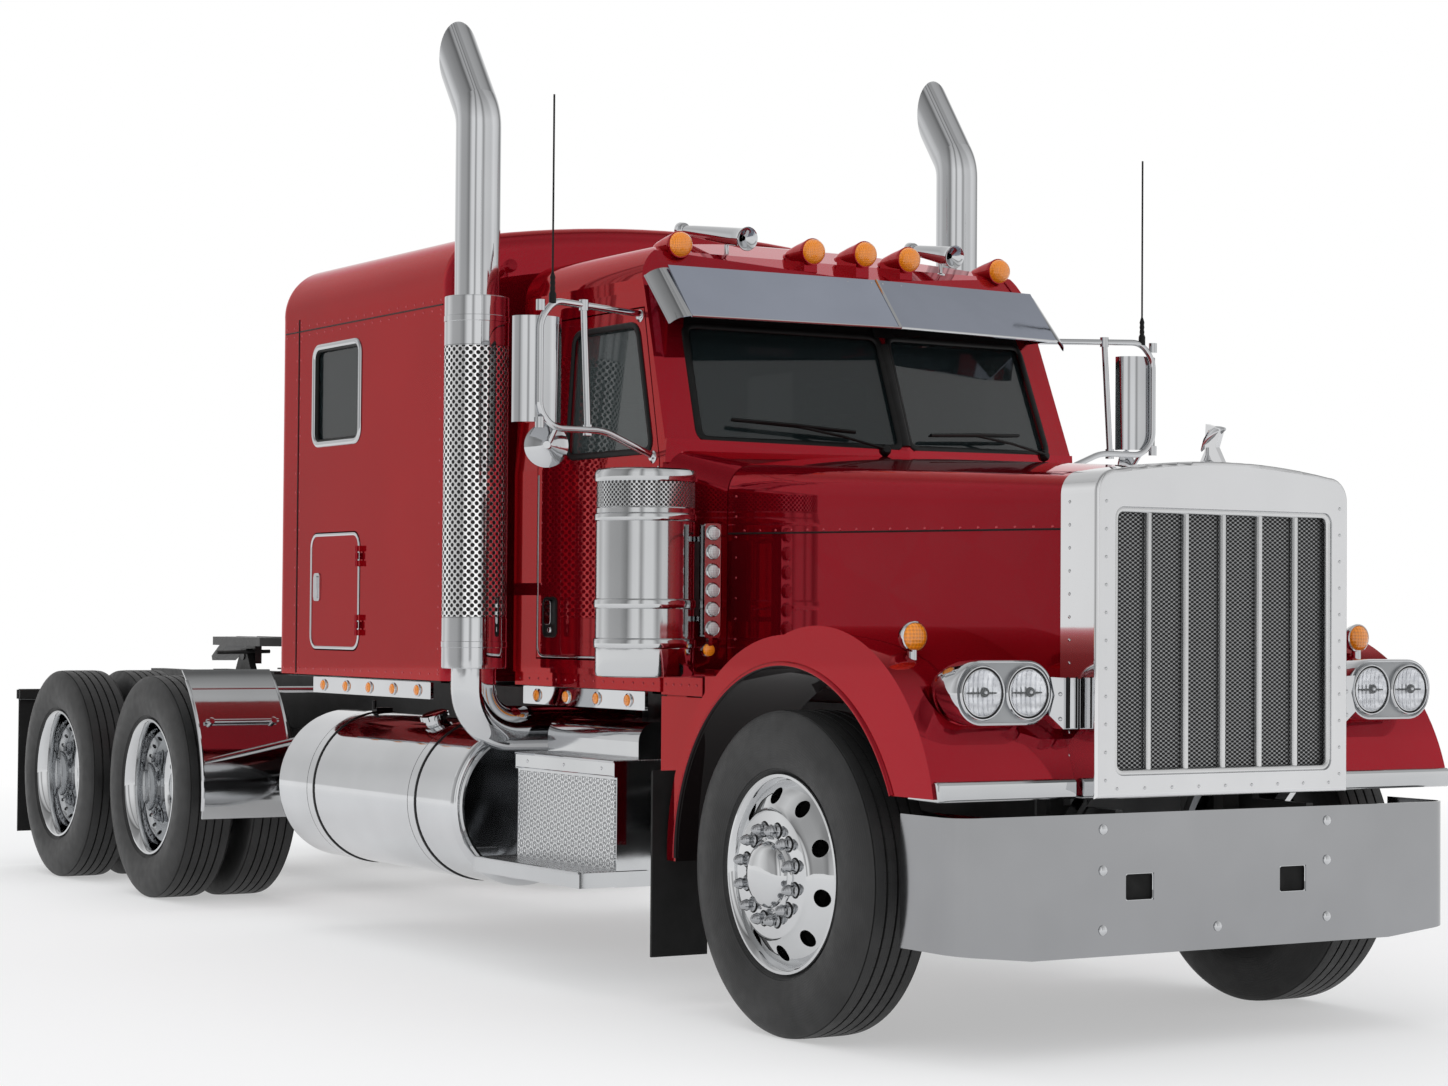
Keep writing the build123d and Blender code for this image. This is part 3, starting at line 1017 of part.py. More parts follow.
# columns: side, trumpet length
HORNS = ((-1, 520.0), (1, 330.0))
with BuildPart() as air_horns:
    for side, length in HORNS:
        bell = (side * 496, STEER_Y + 1264, CAB_CROWN_Z - 39)
        tail = (side * 496, STEER_Y + 1264 + length, CAB_CROWN_Z - 29 + length * 0.15)
        rod(bell, tail, 20)
        mouth = Plane(origin=bell, z_dir=Vector(*tail) - Vector(*bell))
        with BuildSketch(mouth) as wide:
            Circle(52)
        with BuildSketch(mouth.offset(110)) as narrow:
            Circle(20)
        loft([wide.sketch, narrow.sketch])
        for along in (120, length - 20):
            foot_y = bell[1] + along
            axis_z = bell[2] + (tail[2] - bell[2]) * along / length
            block((bell[0] - 15, bell[0] + 15), (foot_y - 15, foot_y + 15),
                  (CAB_CROWN_Z - 225, axis_z))
    add(cab_outer.part, mode=Mode.SUBTRACT)
save(air_horns, "air_horns")

# ============================================================================
# Sleeper
# ============================================================================
def sleeper_volume(inset, round_r):
    with BuildPart() as volume:
        face = arch_face(front_view(SLEEPER_Y[1] - inset), SLEEPER_HALF - inset,
                         SLEEPER_SILL_Z + inset, SLEEPER_EAVE_Z,
                         (SLEEPER_SHOULDER[0] - inset / 2, SLEEPER_SHOULDER[1] - inset),
                         SLEEPER_CROWN_Z - inset)
        extrude(face, amount=SLEEPER_Y[1] - SLEEPER_Y[0] - 2 * inset)
        if round_r:
            ends = volume.faces().sort_by(Axis.Y)
            rims = ends[0].edges() + ends[-1].edges()
            fillet([edge for edge in rims if edge.center().Z > SLEEPER_SILL_Z + 1], round_r)
    return volume.part


with BuildPart() as sleeper_body:
    add(sleeper_volume(0, SLEEPER_ROUND))
    add(sleeper_volume(WALL, 0), mode=Mode.SUBTRACT)
    for _, side in SIDES:
        window = round_rect(side_view(side * (SLEEPER_HALF - 100)), SLEEPER_WINDOW_Y,
                            SLEEPER_WINDOW_Z, 50)
        extrude(window, amount=side * 150, mode=Mode.SUBTRACT)
        hatch = round_rect(side_view(side * (SLEEPER_HALF - 100)),
                           (HATCH_Y[0] - RUN_GAP, HATCH_Y[1] + RUN_GAP),
                           (HATCH_Z[0] - RUN_GAP, HATCH_Z[1] + RUN_GAP), 60 + RUN_GAP)
        extrude(hatch, amount=side * 150, mode=Mode.SUBTRACT)
        for hinge_z in HATCH_HINGE_Z:
            hinge_lugs(side, SLEEPER_HALF, HATCH_HINGE_Y, hinge_z)
    block((-BOOT_HALF + 30, BOOT_HALF - 30), (SLEEPER_Y[0] - 5, SLEEPER_Y[0] + WALL + 5),
          (BOOT_Z[0] + 30, BOOT_Z[1] - 30), mode=Mode.SUBTRACT)
    # boot that joins cab and sleeper
    with BuildSketch(front_view(SLEEPER_Y[0] + 1)) as boot:
        with Locations((0, sum(BOOT_Z) / 2)):
            Rectangle(2 * BOOT_HALF, BOOT_Z[1] - BOOT_Z[0])
            Rectangle(2 * BOOT_HALF - 60, BOOT_Z[1] - BOOT_Z[0] - 60, mode=Mode.SUBTRACT)
    extrude(boot.sketch, amount=SLEEPER_Y[0] + 1 - CAB_REAR_Y - SEAT_GAP)
    # bunk platform over the luggage space
    block((-SLEEPER_HALF + WALL, SLEEPER_HALF - WALL), (BUNK_Y, SLEEPER_Y[1] - WALL),
          (BUNK_Z - 35, BUNK_Z))
    block((-SLEEPER_HALF + WALL, SLEEPER_HALF - WALL), (BUNK_Y, BUNK_Y + 30),
          (SLEEPER_SILL_Z + WALL, BUNK_Z))
save(sleeper_body, "sleeper_body")

with BuildPart() as mattress:
    block((-SLEEPER_HALF + WALL + 15, SLEEPER_HALF - WALL - 15),
          (BUNK_Y + 10, SLEEPER_Y[1] - WALL - 15), (BUNK_Z + SEAT_GAP, BUNK_Z + 150))
save(mattress, "mattress")

for name, side in SIDES:
    with BuildPart() as hatch_door:
        panel = round_rect(side_view(side * (SLEEPER_HALF - WALL)), HATCH_Y, HATCH_Z, 60)
        extrude(panel, amount=side * WALL)
        for hinge_z in HATCH_HINGE_Z:
            hinge_barrel(side, SLEEPER_HALF, HATCH_HINGE_Y, hinge_z)
    save(hatch_door, f"luggage_door_{name}")

# ============================================================================
# Tanks, steps, stacks and air cleaners
# ============================================================================
with BuildPart() as fuel_tanks:
    for _, side in SIDES:
        rod((side * TANK_X, TANK_Y[0], TANK_Z), (side * TANK_X, TANK_Y[1], TANK_Z), TANK_R)
    fillet(fuel_tanks.edges().filter_by(GeomType.CIRCLE), TANK_ROUND)
    for _, side in SIDES:
        for strap_y in STRAP_Y:
            rod((side * TANK_X, strap_y - STRAP_WIDTH / 2, TANK_Z),
                (side * TANK_X, strap_y + STRAP_WIDTH / 2, TANK_Z), TANK_R + STRAP_WALL)
save(fuel_tanks, "fuel_tanks")

with BuildPart() as step_boxes:
    for _, side in SIDES:
        block((side * (RAIL_X + SEAT_GAP), side * (STEP_X - 12)), STEP_Y, STEP_Z)
        block((side * 600, side * STEP_X), STEP_Y, (STEP_Z[1] - 62, STEP_Z[1]))
        block((side * 900, side * TREAD_X), (STEP_Y[0] - 6, STEP_Y[1] + 60), TREAD_Z)
        cover = round_rect(front_view(COVER_REAR_Y), (side * 560, side * COVER_X),
                           (STEP_Z[1] - 120, COVER_Z), 75)
        extrude(cover, amount=COVER_REAR_Y - STEP_Y[0] - 10)
save(step_boxes, "step_boxes")

with BuildPart() as exhaust_stacks:
    for _, side in SIDES:
        past = STACK_MOUTH_Y + 2 * PIPE_R
        tip_z = STACK_TOP_Z + (past - STACK_Y) / math.tan(math.radians(STACK_TURN))
        route = ((side * (RAIL_X + 25), STACK_Y, ELBOW_Z), (side * STACK_X, STACK_Y, ELBOW_Z),
                 (side * STACK_X, STACK_Y, STACK_TOP_Z), (side * STACK_X, past, tip_z))
        tube(route, 165, PIPE_R, PIPE_R - PIPE_WALL)
        # mouth cut upright
        block((side * (STACK_X - 2 * PIPE_R), side * (STACK_X + 2 * PIPE_R)),
              (STACK_MOUTH_Y, past + 2 * PIPE_R), (STACK_TOP_Z - 100, tip_z + 2 * PIPE_R),
              mode=Mode.SUBTRACT)
        with BuildSketch(Plane.XY.offset(GUARD_Z[0])) as ring:
            with Locations((side * STACK_X, STACK_Y)):
                Circle(GUARD_R)
                Circle(PIPE_R - 1, mode=Mode.SUBTRACT)
        extrude(ring.sketch, amount=GUARD_Z[1] - GUARD_Z[0])
        for bracket_z in (1500, 2450):
            block((side * (STACK_X - 130), side * (STACK_X - 60)),
                  (STACK_Y + 60, SLEEPER_Y[0] + 60), (bracket_z, bracket_z + 50))
        block((side * RAIL_X + side * SEAT_GAP, side * (RAIL_X + 30)),
              (STACK_Y - 90, STACK_Y + 90), (ELBOW_Z - 90, ELBOW_Z + 90))
    add(sleeper_volume(0, SLEEPER_ROUND), mode=Mode.SUBTRACT)
save(exhaust_stacks, "exhaust_stacks")

with BuildPart() as air_cleaners:
    for _, side in SIDES:
        centre = (side * CLEANER_X, CLEANER_Y)
        rod((*centre, CLEANER_Z[0]), (*centre, CLEANER_Z[1]), CLEANER_R - 4)
        for low, high in ((0.0, 0.03), (0.30, 0.34), (0.76, 0.80), (0.90, 1.0)):
            height = CLEANER_Z[1] - CLEANER_Z[0]
            rod((*centre, CLEANER_Z[0] + low * height), (*centre, CLEANER_Z[0] + high * height),
                CLEANER_R)
        # duct to the cowl, and the lamp bar ahead of the canister
        block((side * 800, side * (CLEANER_X - 120)), (CLEANER_Y - 25, CLEANER_Y + 90),
              (1400, 1700))
        block((side * 950, side * 1020), (CLEANER_Y - CLEANER_R - 12, CLEANER_Y - CLEANER_R + 28),
              (1340, 1755))
        for strut_z in (1400, 1690):
            block((side * 970, side * 1010), (CLEANER_Y - CLEANER_R + 20, CLEANER_Y - 60),
                  (strut_z, strut_z + 20))
    add(cab_outer.part, mode=Mode.SUBTRACT)
    for _, side in SIDES:
        for lamp in range(6):
            lamp_z = 1375 + lamp * 69
            rod((side * 985, CLEANER_Y - CLEANER_R - 26, lamp_z),
                (side * 985, CLEANER_Y - CLEANER_R - 10, lamp_z), 24)
save(air_cleaners, "air_cleaners")

# ============================================================================
# Rear
# ============================================================================
QUARTER_R = 750.0
with BuildPart() as quarter_fenders:
    for _, side in SIDES:
        with BuildSketch(side_view(side * 800)) as arc_face:
            with Locations((DRIVE_Y[0], AXLE_Z)):
                Circle(QUARTER_R)
                Circle(QUARTER_R - 9, mode=Mode.SUBTRACT)
            with BuildLine():
                Polyline((DRIVE_Y[0], AXLE_Z), (DRIVE_Y[0] - 1000, AXLE_Z - 158),
                         (DRIVE_Y[0] - 1000, AXLE_Z + 1000), (DRIVE_Y[0] - 780, AXLE_Z + 1000),
                         close=True)
            make_face(mode=Mode.INTERSECT)
        extrude(arc_face.sketch, amount=side * 455)
        for degrees in (12, 42):
            turn = math.radians(degrees)
            hold_y = DRIVE_Y[0] - (QUARTER_R - 14) * math.cos(turn)
            hold_z = AXLE_Z + (QUARTER_R - 14) * math.sin(turn)
            rod((side * (RAIL_X + SEAT_GAP), hold_y, max(hold_z, RAIL_Z[0] + 30)),
                (side * (RAIL_X + 60), hold_y, max(hold_z, RAIL_Z[0] + 30)), 20)
            rod((side * (RAIL_X + 50), hold_y, max(hold_z, RAIL_Z[0] + 30)),
                (side * 1240, hold_y, hold_z), 16)
save(quarter_fenders, "quarter_fenders")

with BuildPart() as mud_flaps:
    for _, side in SIDES:
        block((side * (RAIL_X + SEAT_GAP), side * 1205), (REAR - 60, REAR), (930, 980))
        block((side * 660, side * 1200), (REAR - 32, REAR - 22), (190, 940))
        block((side * 930, side * 1165), (COWL_Y - 52, COWL_Y - 40 - SEAT_GAP), (190, 860))
save(mud_flaps, "mud_flaps")

with BuildPart() as fifth_wheel:
    with BuildSketch(Plane.XY.offset(FIFTH_TOP_Z - 45)) as plate:
        with Locations((0, FIFTH_Y + (FIFTH_LENGTH[1] - FIFTH_LENGTH[0]) / 2)):
            Rectangle(2 * FIFTH_HALF, sum(FIFTH_LENGTH))
        chamfer(plate.vertices(), 150)
        with BuildLine():
            Polyline((-KINGPIN_SLOT_R, FIFTH_Y), (-170, FIFTH_Y + FIFTH_LENGTH[1] + 10),
                     (170, FIFTH_Y + FIFTH_LENGTH[1] + 10), (KINGPIN_SLOT_R, FIFTH_Y), close=True)
        make_face(mode=Mode.SUBTRACT)
        with Locations((0, FIFTH_Y)):
            Circle(KINGPIN_SLOT_R, mode=Mode.SUBTRACT)
    extrude(plate.sketch, amount=45)
    for _, side in SIDES:
        # lug inboard of the saddle ear, with the pivot pin
        block((side * (RAIL_X - 80), side * (RAIL_X - 42)), (FIFTH_Y - 60, FIFTH_Y + 60),
              (FIFTH_PIN_Z - 45, FIFTH_TOP_Z - 44))
        rod((side * (RAIL_X - 60), FIFTH_Y, FIFTH_PIN_Z), (side * (RAIL_X + 6), FIFTH_Y,
                                                            FIFTH_PIN_Z), 25)
        # sloped approach ramps
        prism(side_view(side * 250),
              ((FIFTH_Y + FIFTH_LENGTH[1] - 40, FIFTH_TOP_Z - 40),
               (FIFTH_Y + FIFTH_LENGTH[1] - 2, FIFTH_TOP_Z),
               (FIFTH_Y + FIFTH_LENGTH[1] + 200, FIFTH_TOP_Z - 110),
               (FIFTH_Y + FIFTH_LENGTH[1] + 190, FIFTH_TOP_Z - 135)), 70, both=True)
save(fifth_wheel, "fifth_wheel")
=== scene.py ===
import math

import bmesh
import bpy
from mathutils import Matrix, Vector


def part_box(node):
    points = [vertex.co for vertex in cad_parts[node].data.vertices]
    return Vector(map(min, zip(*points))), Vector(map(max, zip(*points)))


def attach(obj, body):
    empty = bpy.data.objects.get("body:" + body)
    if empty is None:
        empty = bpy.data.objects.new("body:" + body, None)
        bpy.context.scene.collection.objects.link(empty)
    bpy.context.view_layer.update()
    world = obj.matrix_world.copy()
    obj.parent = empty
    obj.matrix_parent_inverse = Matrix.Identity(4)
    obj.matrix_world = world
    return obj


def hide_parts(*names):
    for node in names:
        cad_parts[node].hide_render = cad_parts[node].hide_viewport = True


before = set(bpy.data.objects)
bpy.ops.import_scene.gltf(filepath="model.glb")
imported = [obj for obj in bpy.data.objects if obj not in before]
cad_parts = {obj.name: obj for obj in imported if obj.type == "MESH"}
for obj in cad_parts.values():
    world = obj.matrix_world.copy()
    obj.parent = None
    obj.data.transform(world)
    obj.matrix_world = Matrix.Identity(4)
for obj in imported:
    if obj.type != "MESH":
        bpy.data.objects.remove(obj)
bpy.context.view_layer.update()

# Metres, in the CAD frame: -Y is the truck's front, +X its left-hand side, z = 0 the ground.
SIDES = (("right", -1), ("left", 1))
STEER_Y = -3.435
DRIVE_Y = (2.202, 3.547)
AXLE_Z = 0.552
TYRE_R = 0.552
RIM_R = 0.335
STEER_X = 1.029
DUAL_X = (0.793, 1.128)
FRONT = -4.37
ARCH_Y = STEER_Y + 0.03
ARCH_R = 0.7015             # just beyond the wheel house's own radius
TAU = 2 * math.pi
ACROSS, REARWARD, UP = Vector((1, 0, 0)), Vector((0, 1, 0)), Vector((0, 0, 1))
AHEAD = -REARWARD


# ---- Mesh building ----
class Form:
    """Simple shapes gathered into one mesh, with material numbers and UVs in metres."""

    def __init__(self):
        self.bm = bmesh.new()
        self.uv = self.bm.loops.layers.uv.new("metres")

    def face(self, verts, mat=0, uvs=(), smooth=True):
        made = self.bm.faces.new(verts)
        made.material_index = mat
        made.smooth = smooth
        for loop, uv in zip(made.loops, uvs):
            loop[self.uv].uv = uv

    def lathe(self, profile, place, steps=48, mat=0, closed=False):
        """Turns (radius, along) points about the local Z axis of a placing matrix."""
        rings = [[self.bm.verts.new(place @ Vector((r * x, r * y, a))) for r, a in profile]
                 for x, y in oval(1, 1, steps)]
        run = [0.0]
        for here, there in zip(profile, profile[1:] + profile[:1]):
            run.append(run[-1] + math.dist(here, there))
        widest = max(r for r, _ in profile)
        for step in range(steps):
            here, there = rings[step], rings[(step + 1) % steps]
            u0, u1 = (TAU * widest * k / steps for k in (step, step + 1))
            for k in range(len(profile) - (not closed)):
                j = (k + 1) % len(profile)
                if max(profile[k][0], profile[j][0]) >= 1e-6:
                    self.face([here[k], there[k], there[j], here[j]], mat,
                              [(u0, run[k]), (u1, run[k]), (u1, run[k + 1]), (u0, run[k + 1])])

    def box(self, low, high, mat=0, place=Matrix()):
        """Box between two corners, in the frame or in a placing matrix's own axes."""
        corners = [Vector((x, y, z)) for x in (low[0], high[0]) for y in (low[1], high[1])
                   for z in (low[2], high[2])]
        verts = [self.bm.verts.new(place @ corner) for corner in corners]
        for flat, ids in ((0, (0, 1, 3, 2)), (0, (4, 6, 7, 5)), (1, (0, 4, 5, 1)),
                          (1, (2, 3, 7, 6)), (2, (0, 2, 6, 4)), (2, (1, 5, 7, 3))):
            uvs = [[corners[k][a] for a in range(3) if a != flat] for k in ids]
            self.face([verts[k] for k in ids], mat, uvs, smooth=False)

    def prism(self, outline, place, depth, mat=0):
        """Closed 2-D outline pushed along the local Z of a placing matrix."""
        low, high = ([self.bm.verts.new(p) for p in lifted(outline, place, z)] for z in (0, depth))
        self.face(low[::-1], mat, outline[::-1], smooth=False)
        self.face(high, mat, outline, smooth=False)
        run = 0.0
        for k, point in enumerate(outline):
            j = (k + 1) % len(outline)
            step = math.dist(point, outline[j])
            self.face([low[k], low[j], high[j], high[k]], mat,
                      [(run, 0), (run + step, 0), (run + step, depth), (run, depth)])
            run += step

    def tube(self, points, radius, mat=0, sides=10, closed=False, flat=1.0, up=None):
        """Round or flattened bar swept along points."""
        points = [Vector(p) for p in points]
        count = len(points)
        rings, run, last = [], 0.0, None
        for k, point in enumerate(points):
            before = points[k - 1] if (k or closed) else point
            after = points[(k + 1) % count] if (k < count - 1 or closed) else point
            along = (after - before).normalized()
            if up is not None:
                last = along.cross(up).normalized()
            elif last is None:
                last = along.orthogonal().normalized()
            else:
                last = (last - along * last.dot(along)).normalized()
            other = along.cross(last).normalized()
            rings.append([self.bm.verts.new(point + last * x + other * y)
                          for x, y in oval(radius, radius * flat, sides)])
        for k in range(count if closed else count - 1):
            j = (k + 1) % count
            length = (points[j] - points[k]).length
            for s in range(sides):
                t = (s + 1) % sides
                v0, v1 = TAU * radius * s / sides, TAU * radius * (s + 1) / sides
                self.face([rings[k][s], rings[j][s], rings[j][t], rings[k][t]], mat,
                          [(run, v0), (run + length, v0), (run + length, v1), (run, v1)])
            run += length
        if not closed:
            self.face(rings[0], mat)
            self.face(rings[-1][::-1], mat)

    def skin(self, rings, end_mat=0):
        """Closed rings of points joined one to the next and capped at both ends."""
        rings = [[self.bm.verts.new(p) for p in ring] for ring in rings]
        for a, b in zip(rings, rings[1:]):
            for k in range(len(a)):
                j = (k + 1) % len(a)
                self.face([a[k], a[j], b[j], b[k]])
        self.face(rings[0])
        self.face(rings[-1], end_mat)

    def dome(self, centre, radius, axis, mat=0, flat=1.0, steps=14, rings=5):
        """Half ball standing on centre, pointing along axis."""
        profile = [(radius * math.cos(k / rings * math.pi / 2),
                    radius * flat * math.sin(k / rings * math.pi / 2)) for k in range(rings)]
        profile.append((0.0, radius * flat))
        self.lathe(profile, aim(centre, axis), steps=steps, mat=mat)

    def turned(self, place, steps, *rows):
        """Turned shapes on one axis: each row is a material number, then millimetre pairs."""
        for mat, *profile in rows:
            self.lathe(mm(*profile), place, steps, mat)

    def slab(self, side, xs, ys, zs, mat=0):
        """Box on one side of the truck, from its distances out from the middle."""
        low, high = both(*xs, side)
        self.box((low, ys[0], zs[0]), (high, ys[1], zs[1]), mat)

    def hoop(self, outline, place, radius, height=0.0, up=ACROSS, **shape):
        """Closed tube round a 2-D outline in a placing matrix."""
        self.tube(lifted(outline, place, height), radius, closed=True, up=up, **shape)

    def rivets(self, start, end, step, radius, axis, mat=0):
        """Low domed rivet heads at an even spacing between two points."""
        start, end = Vector(start), Vector(end)
        count = max(1, round((end - start).length / step))
        for k in range(count + 1):
            self.dome(start.lerp(end, k / count), radius, axis, mat, flat=0.55, steps=8, rings=2)

    def side_rivets(self, side, x, start, end, step, radius=0.0055, mat=0):
        """Rivets between two (y, z) points on one side of the truck."""
        self.rivets((side * x, *start), (side * x, *end), step, radius, (side, 0, 0), mat)

    def mesh(self, name):
        """What was drawn, as one clean mesh."""
        bmesh.ops.remove_doubles(self.bm, verts=self.bm.verts, dist=1e-6)
        bmesh.ops.recalc_face_normals(self.bm, faces=self.bm.faces)
        mesh = bpy.data.meshes.new(name)
        self.bm.to_mesh(mesh)
        self.bm.free()
        return mesh

    def out(self, name, *rest, **more):
        """Writes the mesh out as one piece that rides on a body."""
        return finish_piece(name, self.mesh(name), *rest, **more)


def finish_piece(name, mesh, body, materials, slot=None, bevel=0.0, sharp=38, replaces=()):
    for polygon in mesh.polygons:
        polygon.use_smooth = True
    mesh.set_sharp_from_angle(angle=math.radians(sharp))
    obj = bpy.data.objects.new(name, mesh)
    bpy.context.scene.collection.objects.link(obj)
    for material in materials if isinstance(materials, (list, tuple)) else [materials]:
        mesh.materials.append(material)
    if bevel:
        mod = obj.modifiers.new("edges", "BEVEL")
        mod.width = bevel
        mod.segments = 2
        mod.limit_method = "ANGLE"
        mod.angle_limit = math.radians(40)
    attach(obj, body)
    if replaces:
        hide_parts(*replaces)
    return obj


def mm(*values, at=(0, 0)):
    """Millimetre values taken two by two, as points in metres past a starting point."""
    return [(at[0] + a / 1000, at[1] + b / 1000) for a, b in zip(values[::2], values[1::2])]


def aim(centre, axis):
    """Placing matrix whose local Z points along axis."""
    turn = Vector(axis).normalized().to_track_quat("Z", "Y").to_matrix().to_4x4()
    return Matrix.Translation(centre) @ turn


def axes(origin, x_dir, y_dir):
    """Placing matrix from its local X and Y directions."""
    x = Vector(x_dir).normalized()
    z = x.cross(Vector(y_dir)).normalized()
    y = z.cross(x)
    made = Matrix((x, y, z)).transposed().to_4x4()
    made.translation = Vector(origin)
    return made


def side_place(side, x):
    """Local X runs rearwards, local Y up, local Z outwards on that side of the truck."""
    if side > 0:
        return axes((x, 0, 0), (0, 1, 0), (0, 0, 1))
    return Matrix(((0, 0, -1, -x), (1, 0, 0, 0), (0, 1, 0, 0), (0, 0, 0, 1)))


def rounded(points, radius, steps=6, closed=False):
    """Straight runs with rounded corners."""
    points = [Vector(p) for p in points]
    count = len(points)
    made = []
    for k, corner in enumerate(points):
        if not closed and k in (0, count - 1):
            made.append(corner)
            continue
        before, after = points[k - 1], points[(k + 1) % count]
        reach = min(radius, (before - corner).length * 0.49, (after - corner).length * 0.49)
        start = corner + (before - corner).normalized() * reach
        end = corner + (after - corner).normalized() * reach
        for s in range(steps + 1):
            t = s / steps
            made.append(start * (1 - t) ** 2 + corner * 2 * t * (1 - t) + end * t ** 2)
    return made


def round_rect(x, y, radius, steps=6, inset=0.0):
    """Rounded rectangle outline between two pairs, anticlockwise, as 2-D points."""
    x, y = ((low + inset, high - inset) for low, high in (x, y))
    made = []
    for cx, cy, first in ((x[0], y[0], 180), (x[1], y[0], 270), (x[1], y[1], 0), (x[0], y[1], 90)):
        mx = cx + radius if cx == x[0] else cx - radius
        my = cy + radius if cy == y[0] else cy - radius
        for s in range(steps + 1):
            turn = math.radians(first + 90 * s / steps)
            made.append((mx + radius * math.cos(turn), my + radius * math.sin(turn)))
    return made


def oval(across, up, count):
    """Outline of an oval from its two half widths, as 2-D points."""
    turns = [TAU * k / count for k in range(count)]
    return [(across * math.cos(turn), up * math.sin(turn)) for turn in turns]


def spun(place, turn, shift=(0, 0, 0)):
    """Placing matrix turned about its own Z axis and then shifted."""
    return place @ Matrix.Rotation(turn, 4, "Z") @ Matrix.Translation(shift)


def upright(y, z=0.0, x=0.0):
    """Placing matrix facing ahead: local X across the truck, local Y up."""
    return axes((x, y, z), (1, 0, 0), (0, 0, 1))


def lifted(outline, place, height=0.0):
    """2-D outline as 3-D points in a placing matrix."""
    return [place @ Vector((*point, height)) for point in outline]


def both(inner, outer, side):
    """Low and high x of a piece on one side of the truck."""
    return sorted((side * inner, side * outer))


def cut_by(name, body_mesh, cutter_mesh):
    """Body mesh with the cutter taken away."""
    base = bpy.data.objects.new(name + "_base", body_mesh)
    tool = bpy.data.objects.new(name + "_tool", cutter_mesh)
    for obj in (base, tool):
        bpy.context.scene.collection.objects.link(obj)
    mod = base.modifiers.new("cut", "BOOLEAN")
    mod.operation = "DIFFERENCE"
    mod.solver = "EXACT"
    mod.object = tool
    bpy.context.view_layer.update()
    made = bpy.data.meshes.new_from_object(
        base.evaluated_get(bpy.context.evaluated_depsgraph_get()))
    bpy.data.objects.remove(base)
    bpy.data.objects.remove(tool)
    return made


# ---- Materials ----
class Value:
    """Output of a node that takes arithmetic, so that a node graph reads as a formula."""

    def __init__(self, nodes, socket):
        self.nodes, self.socket = nodes, socket

    def __add__(self, other):
        return self.nodes.math("ADD", self, other)

    def __sub__(self, other):
        return self.nodes.math("SUBTRACT", self, other)

    def __rsub__(self, other):
        return self.nodes.math("SUBTRACT", other, self)

    def __mul__(self, other):
        return self.nodes.math("MULTIPLY", self, other)

    def __truediv__(self, other):
        return self.nodes.math("DIVIDE", self, other)


class Nodes:
    """A node tree, with short ways to add nodes."""

    def __init__(self, tree):
        self.tree = tree

    def put(self, value, socket):
        """Number, colour or another node's value into an input."""
        if isinstance(value, Value):
            self.tree.links.new(value.socket, socket)
        elif isinstance(value, tuple) and len(socket.default_value) == 4:
            socket.default_value = (*value, 1)
        else:
            socket.default_value = value

    def add(self, kind, inputs=(), out=0, **settings):
        """New node with its inputs filled, as the value of one of its outputs."""
        node = self.tree.nodes.new(kind)
        for key, value in settings.items():
            setattr(node, key, value)
        for key, value in dict(inputs).items():
            self.put(value, node.inputs[key])
        return Value(self, node.outputs[out])

    def math(self, kind, a, b=None, clamp=False):
        inputs = {0: a} if b is None else {0: a, 1: b}
        return self.add("ShaderNodeMath", inputs, operation=kind, use_clamp=clamp)

    def sine(self, value):
        return self.math("SINE", value)

    def split(self, source="Object"):
        """Three coordinates of one kind."""
        node = self.tree.nodes.new("ShaderNodeSeparateXYZ")
        self.put(self.add("ShaderNodeTexCoord", out=source), node.inputs[0])
        return [Value(self, out) for out in node.outputs]

    def noise(self, scale, detail, stretch=None):
        where = self.add("ShaderNodeTexCoord", out="Object")
        if stretch:
            where = self.add("ShaderNodeMapping", {"Vector": where, "Scale": stretch})
        return self.add("ShaderNodeTexNoise", {"Vector": where, "Scale": scale, "Detail": detail})

    def ramp(self, value, *stops):
        """Greys or colours at places along a value."""
        node = self.tree.nodes.new("ShaderNodeValToRGB")
        elements = node.color_ramp.elements
        for _ in stops[2:]:
            elements.new(0.5)
        for element, (place, colour) in zip(elements, stops):
            element.position = place
            element.color = (*(colour if isinstance(colour, tuple) else [colour] * 3), 1)
        self.put(value, node.inputs["Fac"])
        return Value(self, node.outputs["Color"])

    def drift(self, value, low, high, start=0.3, end=0.7):
        return self.ramp(value, (start, low), (end, high))

    def mix(self, share, a, b, blend="MIX"):
        return self.add("ShaderNodeMix", {0: share, 6: a, 7: b}, 2, data_type="RGBA",
                        blend_type=blend)

    def rays(self):
        """1 for camera rays, then 1 for camera, glossy and transmission rays."""
        path = self.tree.nodes.new("ShaderNodeLightPath").outputs
        camera_ray = Value(self, path["Is Camera Ray"])
        mirrored = self.math("MAXIMUM", Value(self, path["Is Glossy Ray"]),
                             Value(self, path["Is Transmission Ray"]))
        return camera_ray, self.math("MAXIMUM", camera_ray, mirrored)

    def spots(self, across, up, pitch, radius, edge=0.15):
        """1 inside the holes of a staggered lattice over two coordinates, 0 outside."""
        gaps = []
        for shift in (0.0, 0.5):
            parts = []
            for value, step, size in ((across, pitch[0], radius[0]), (up, pitch[1], radius[1])):
                away = (self.math("FRACT", value / step + shift) - 0.5) * (step / size)
                parts.append(away * away)
            gaps.append(parts[0] + parts[1])
        inside = 1.0 + edge - self.math("MINIMUM", *gaps)
        return self.math("DIVIDE", inside, 2 * edge, clamp=True)


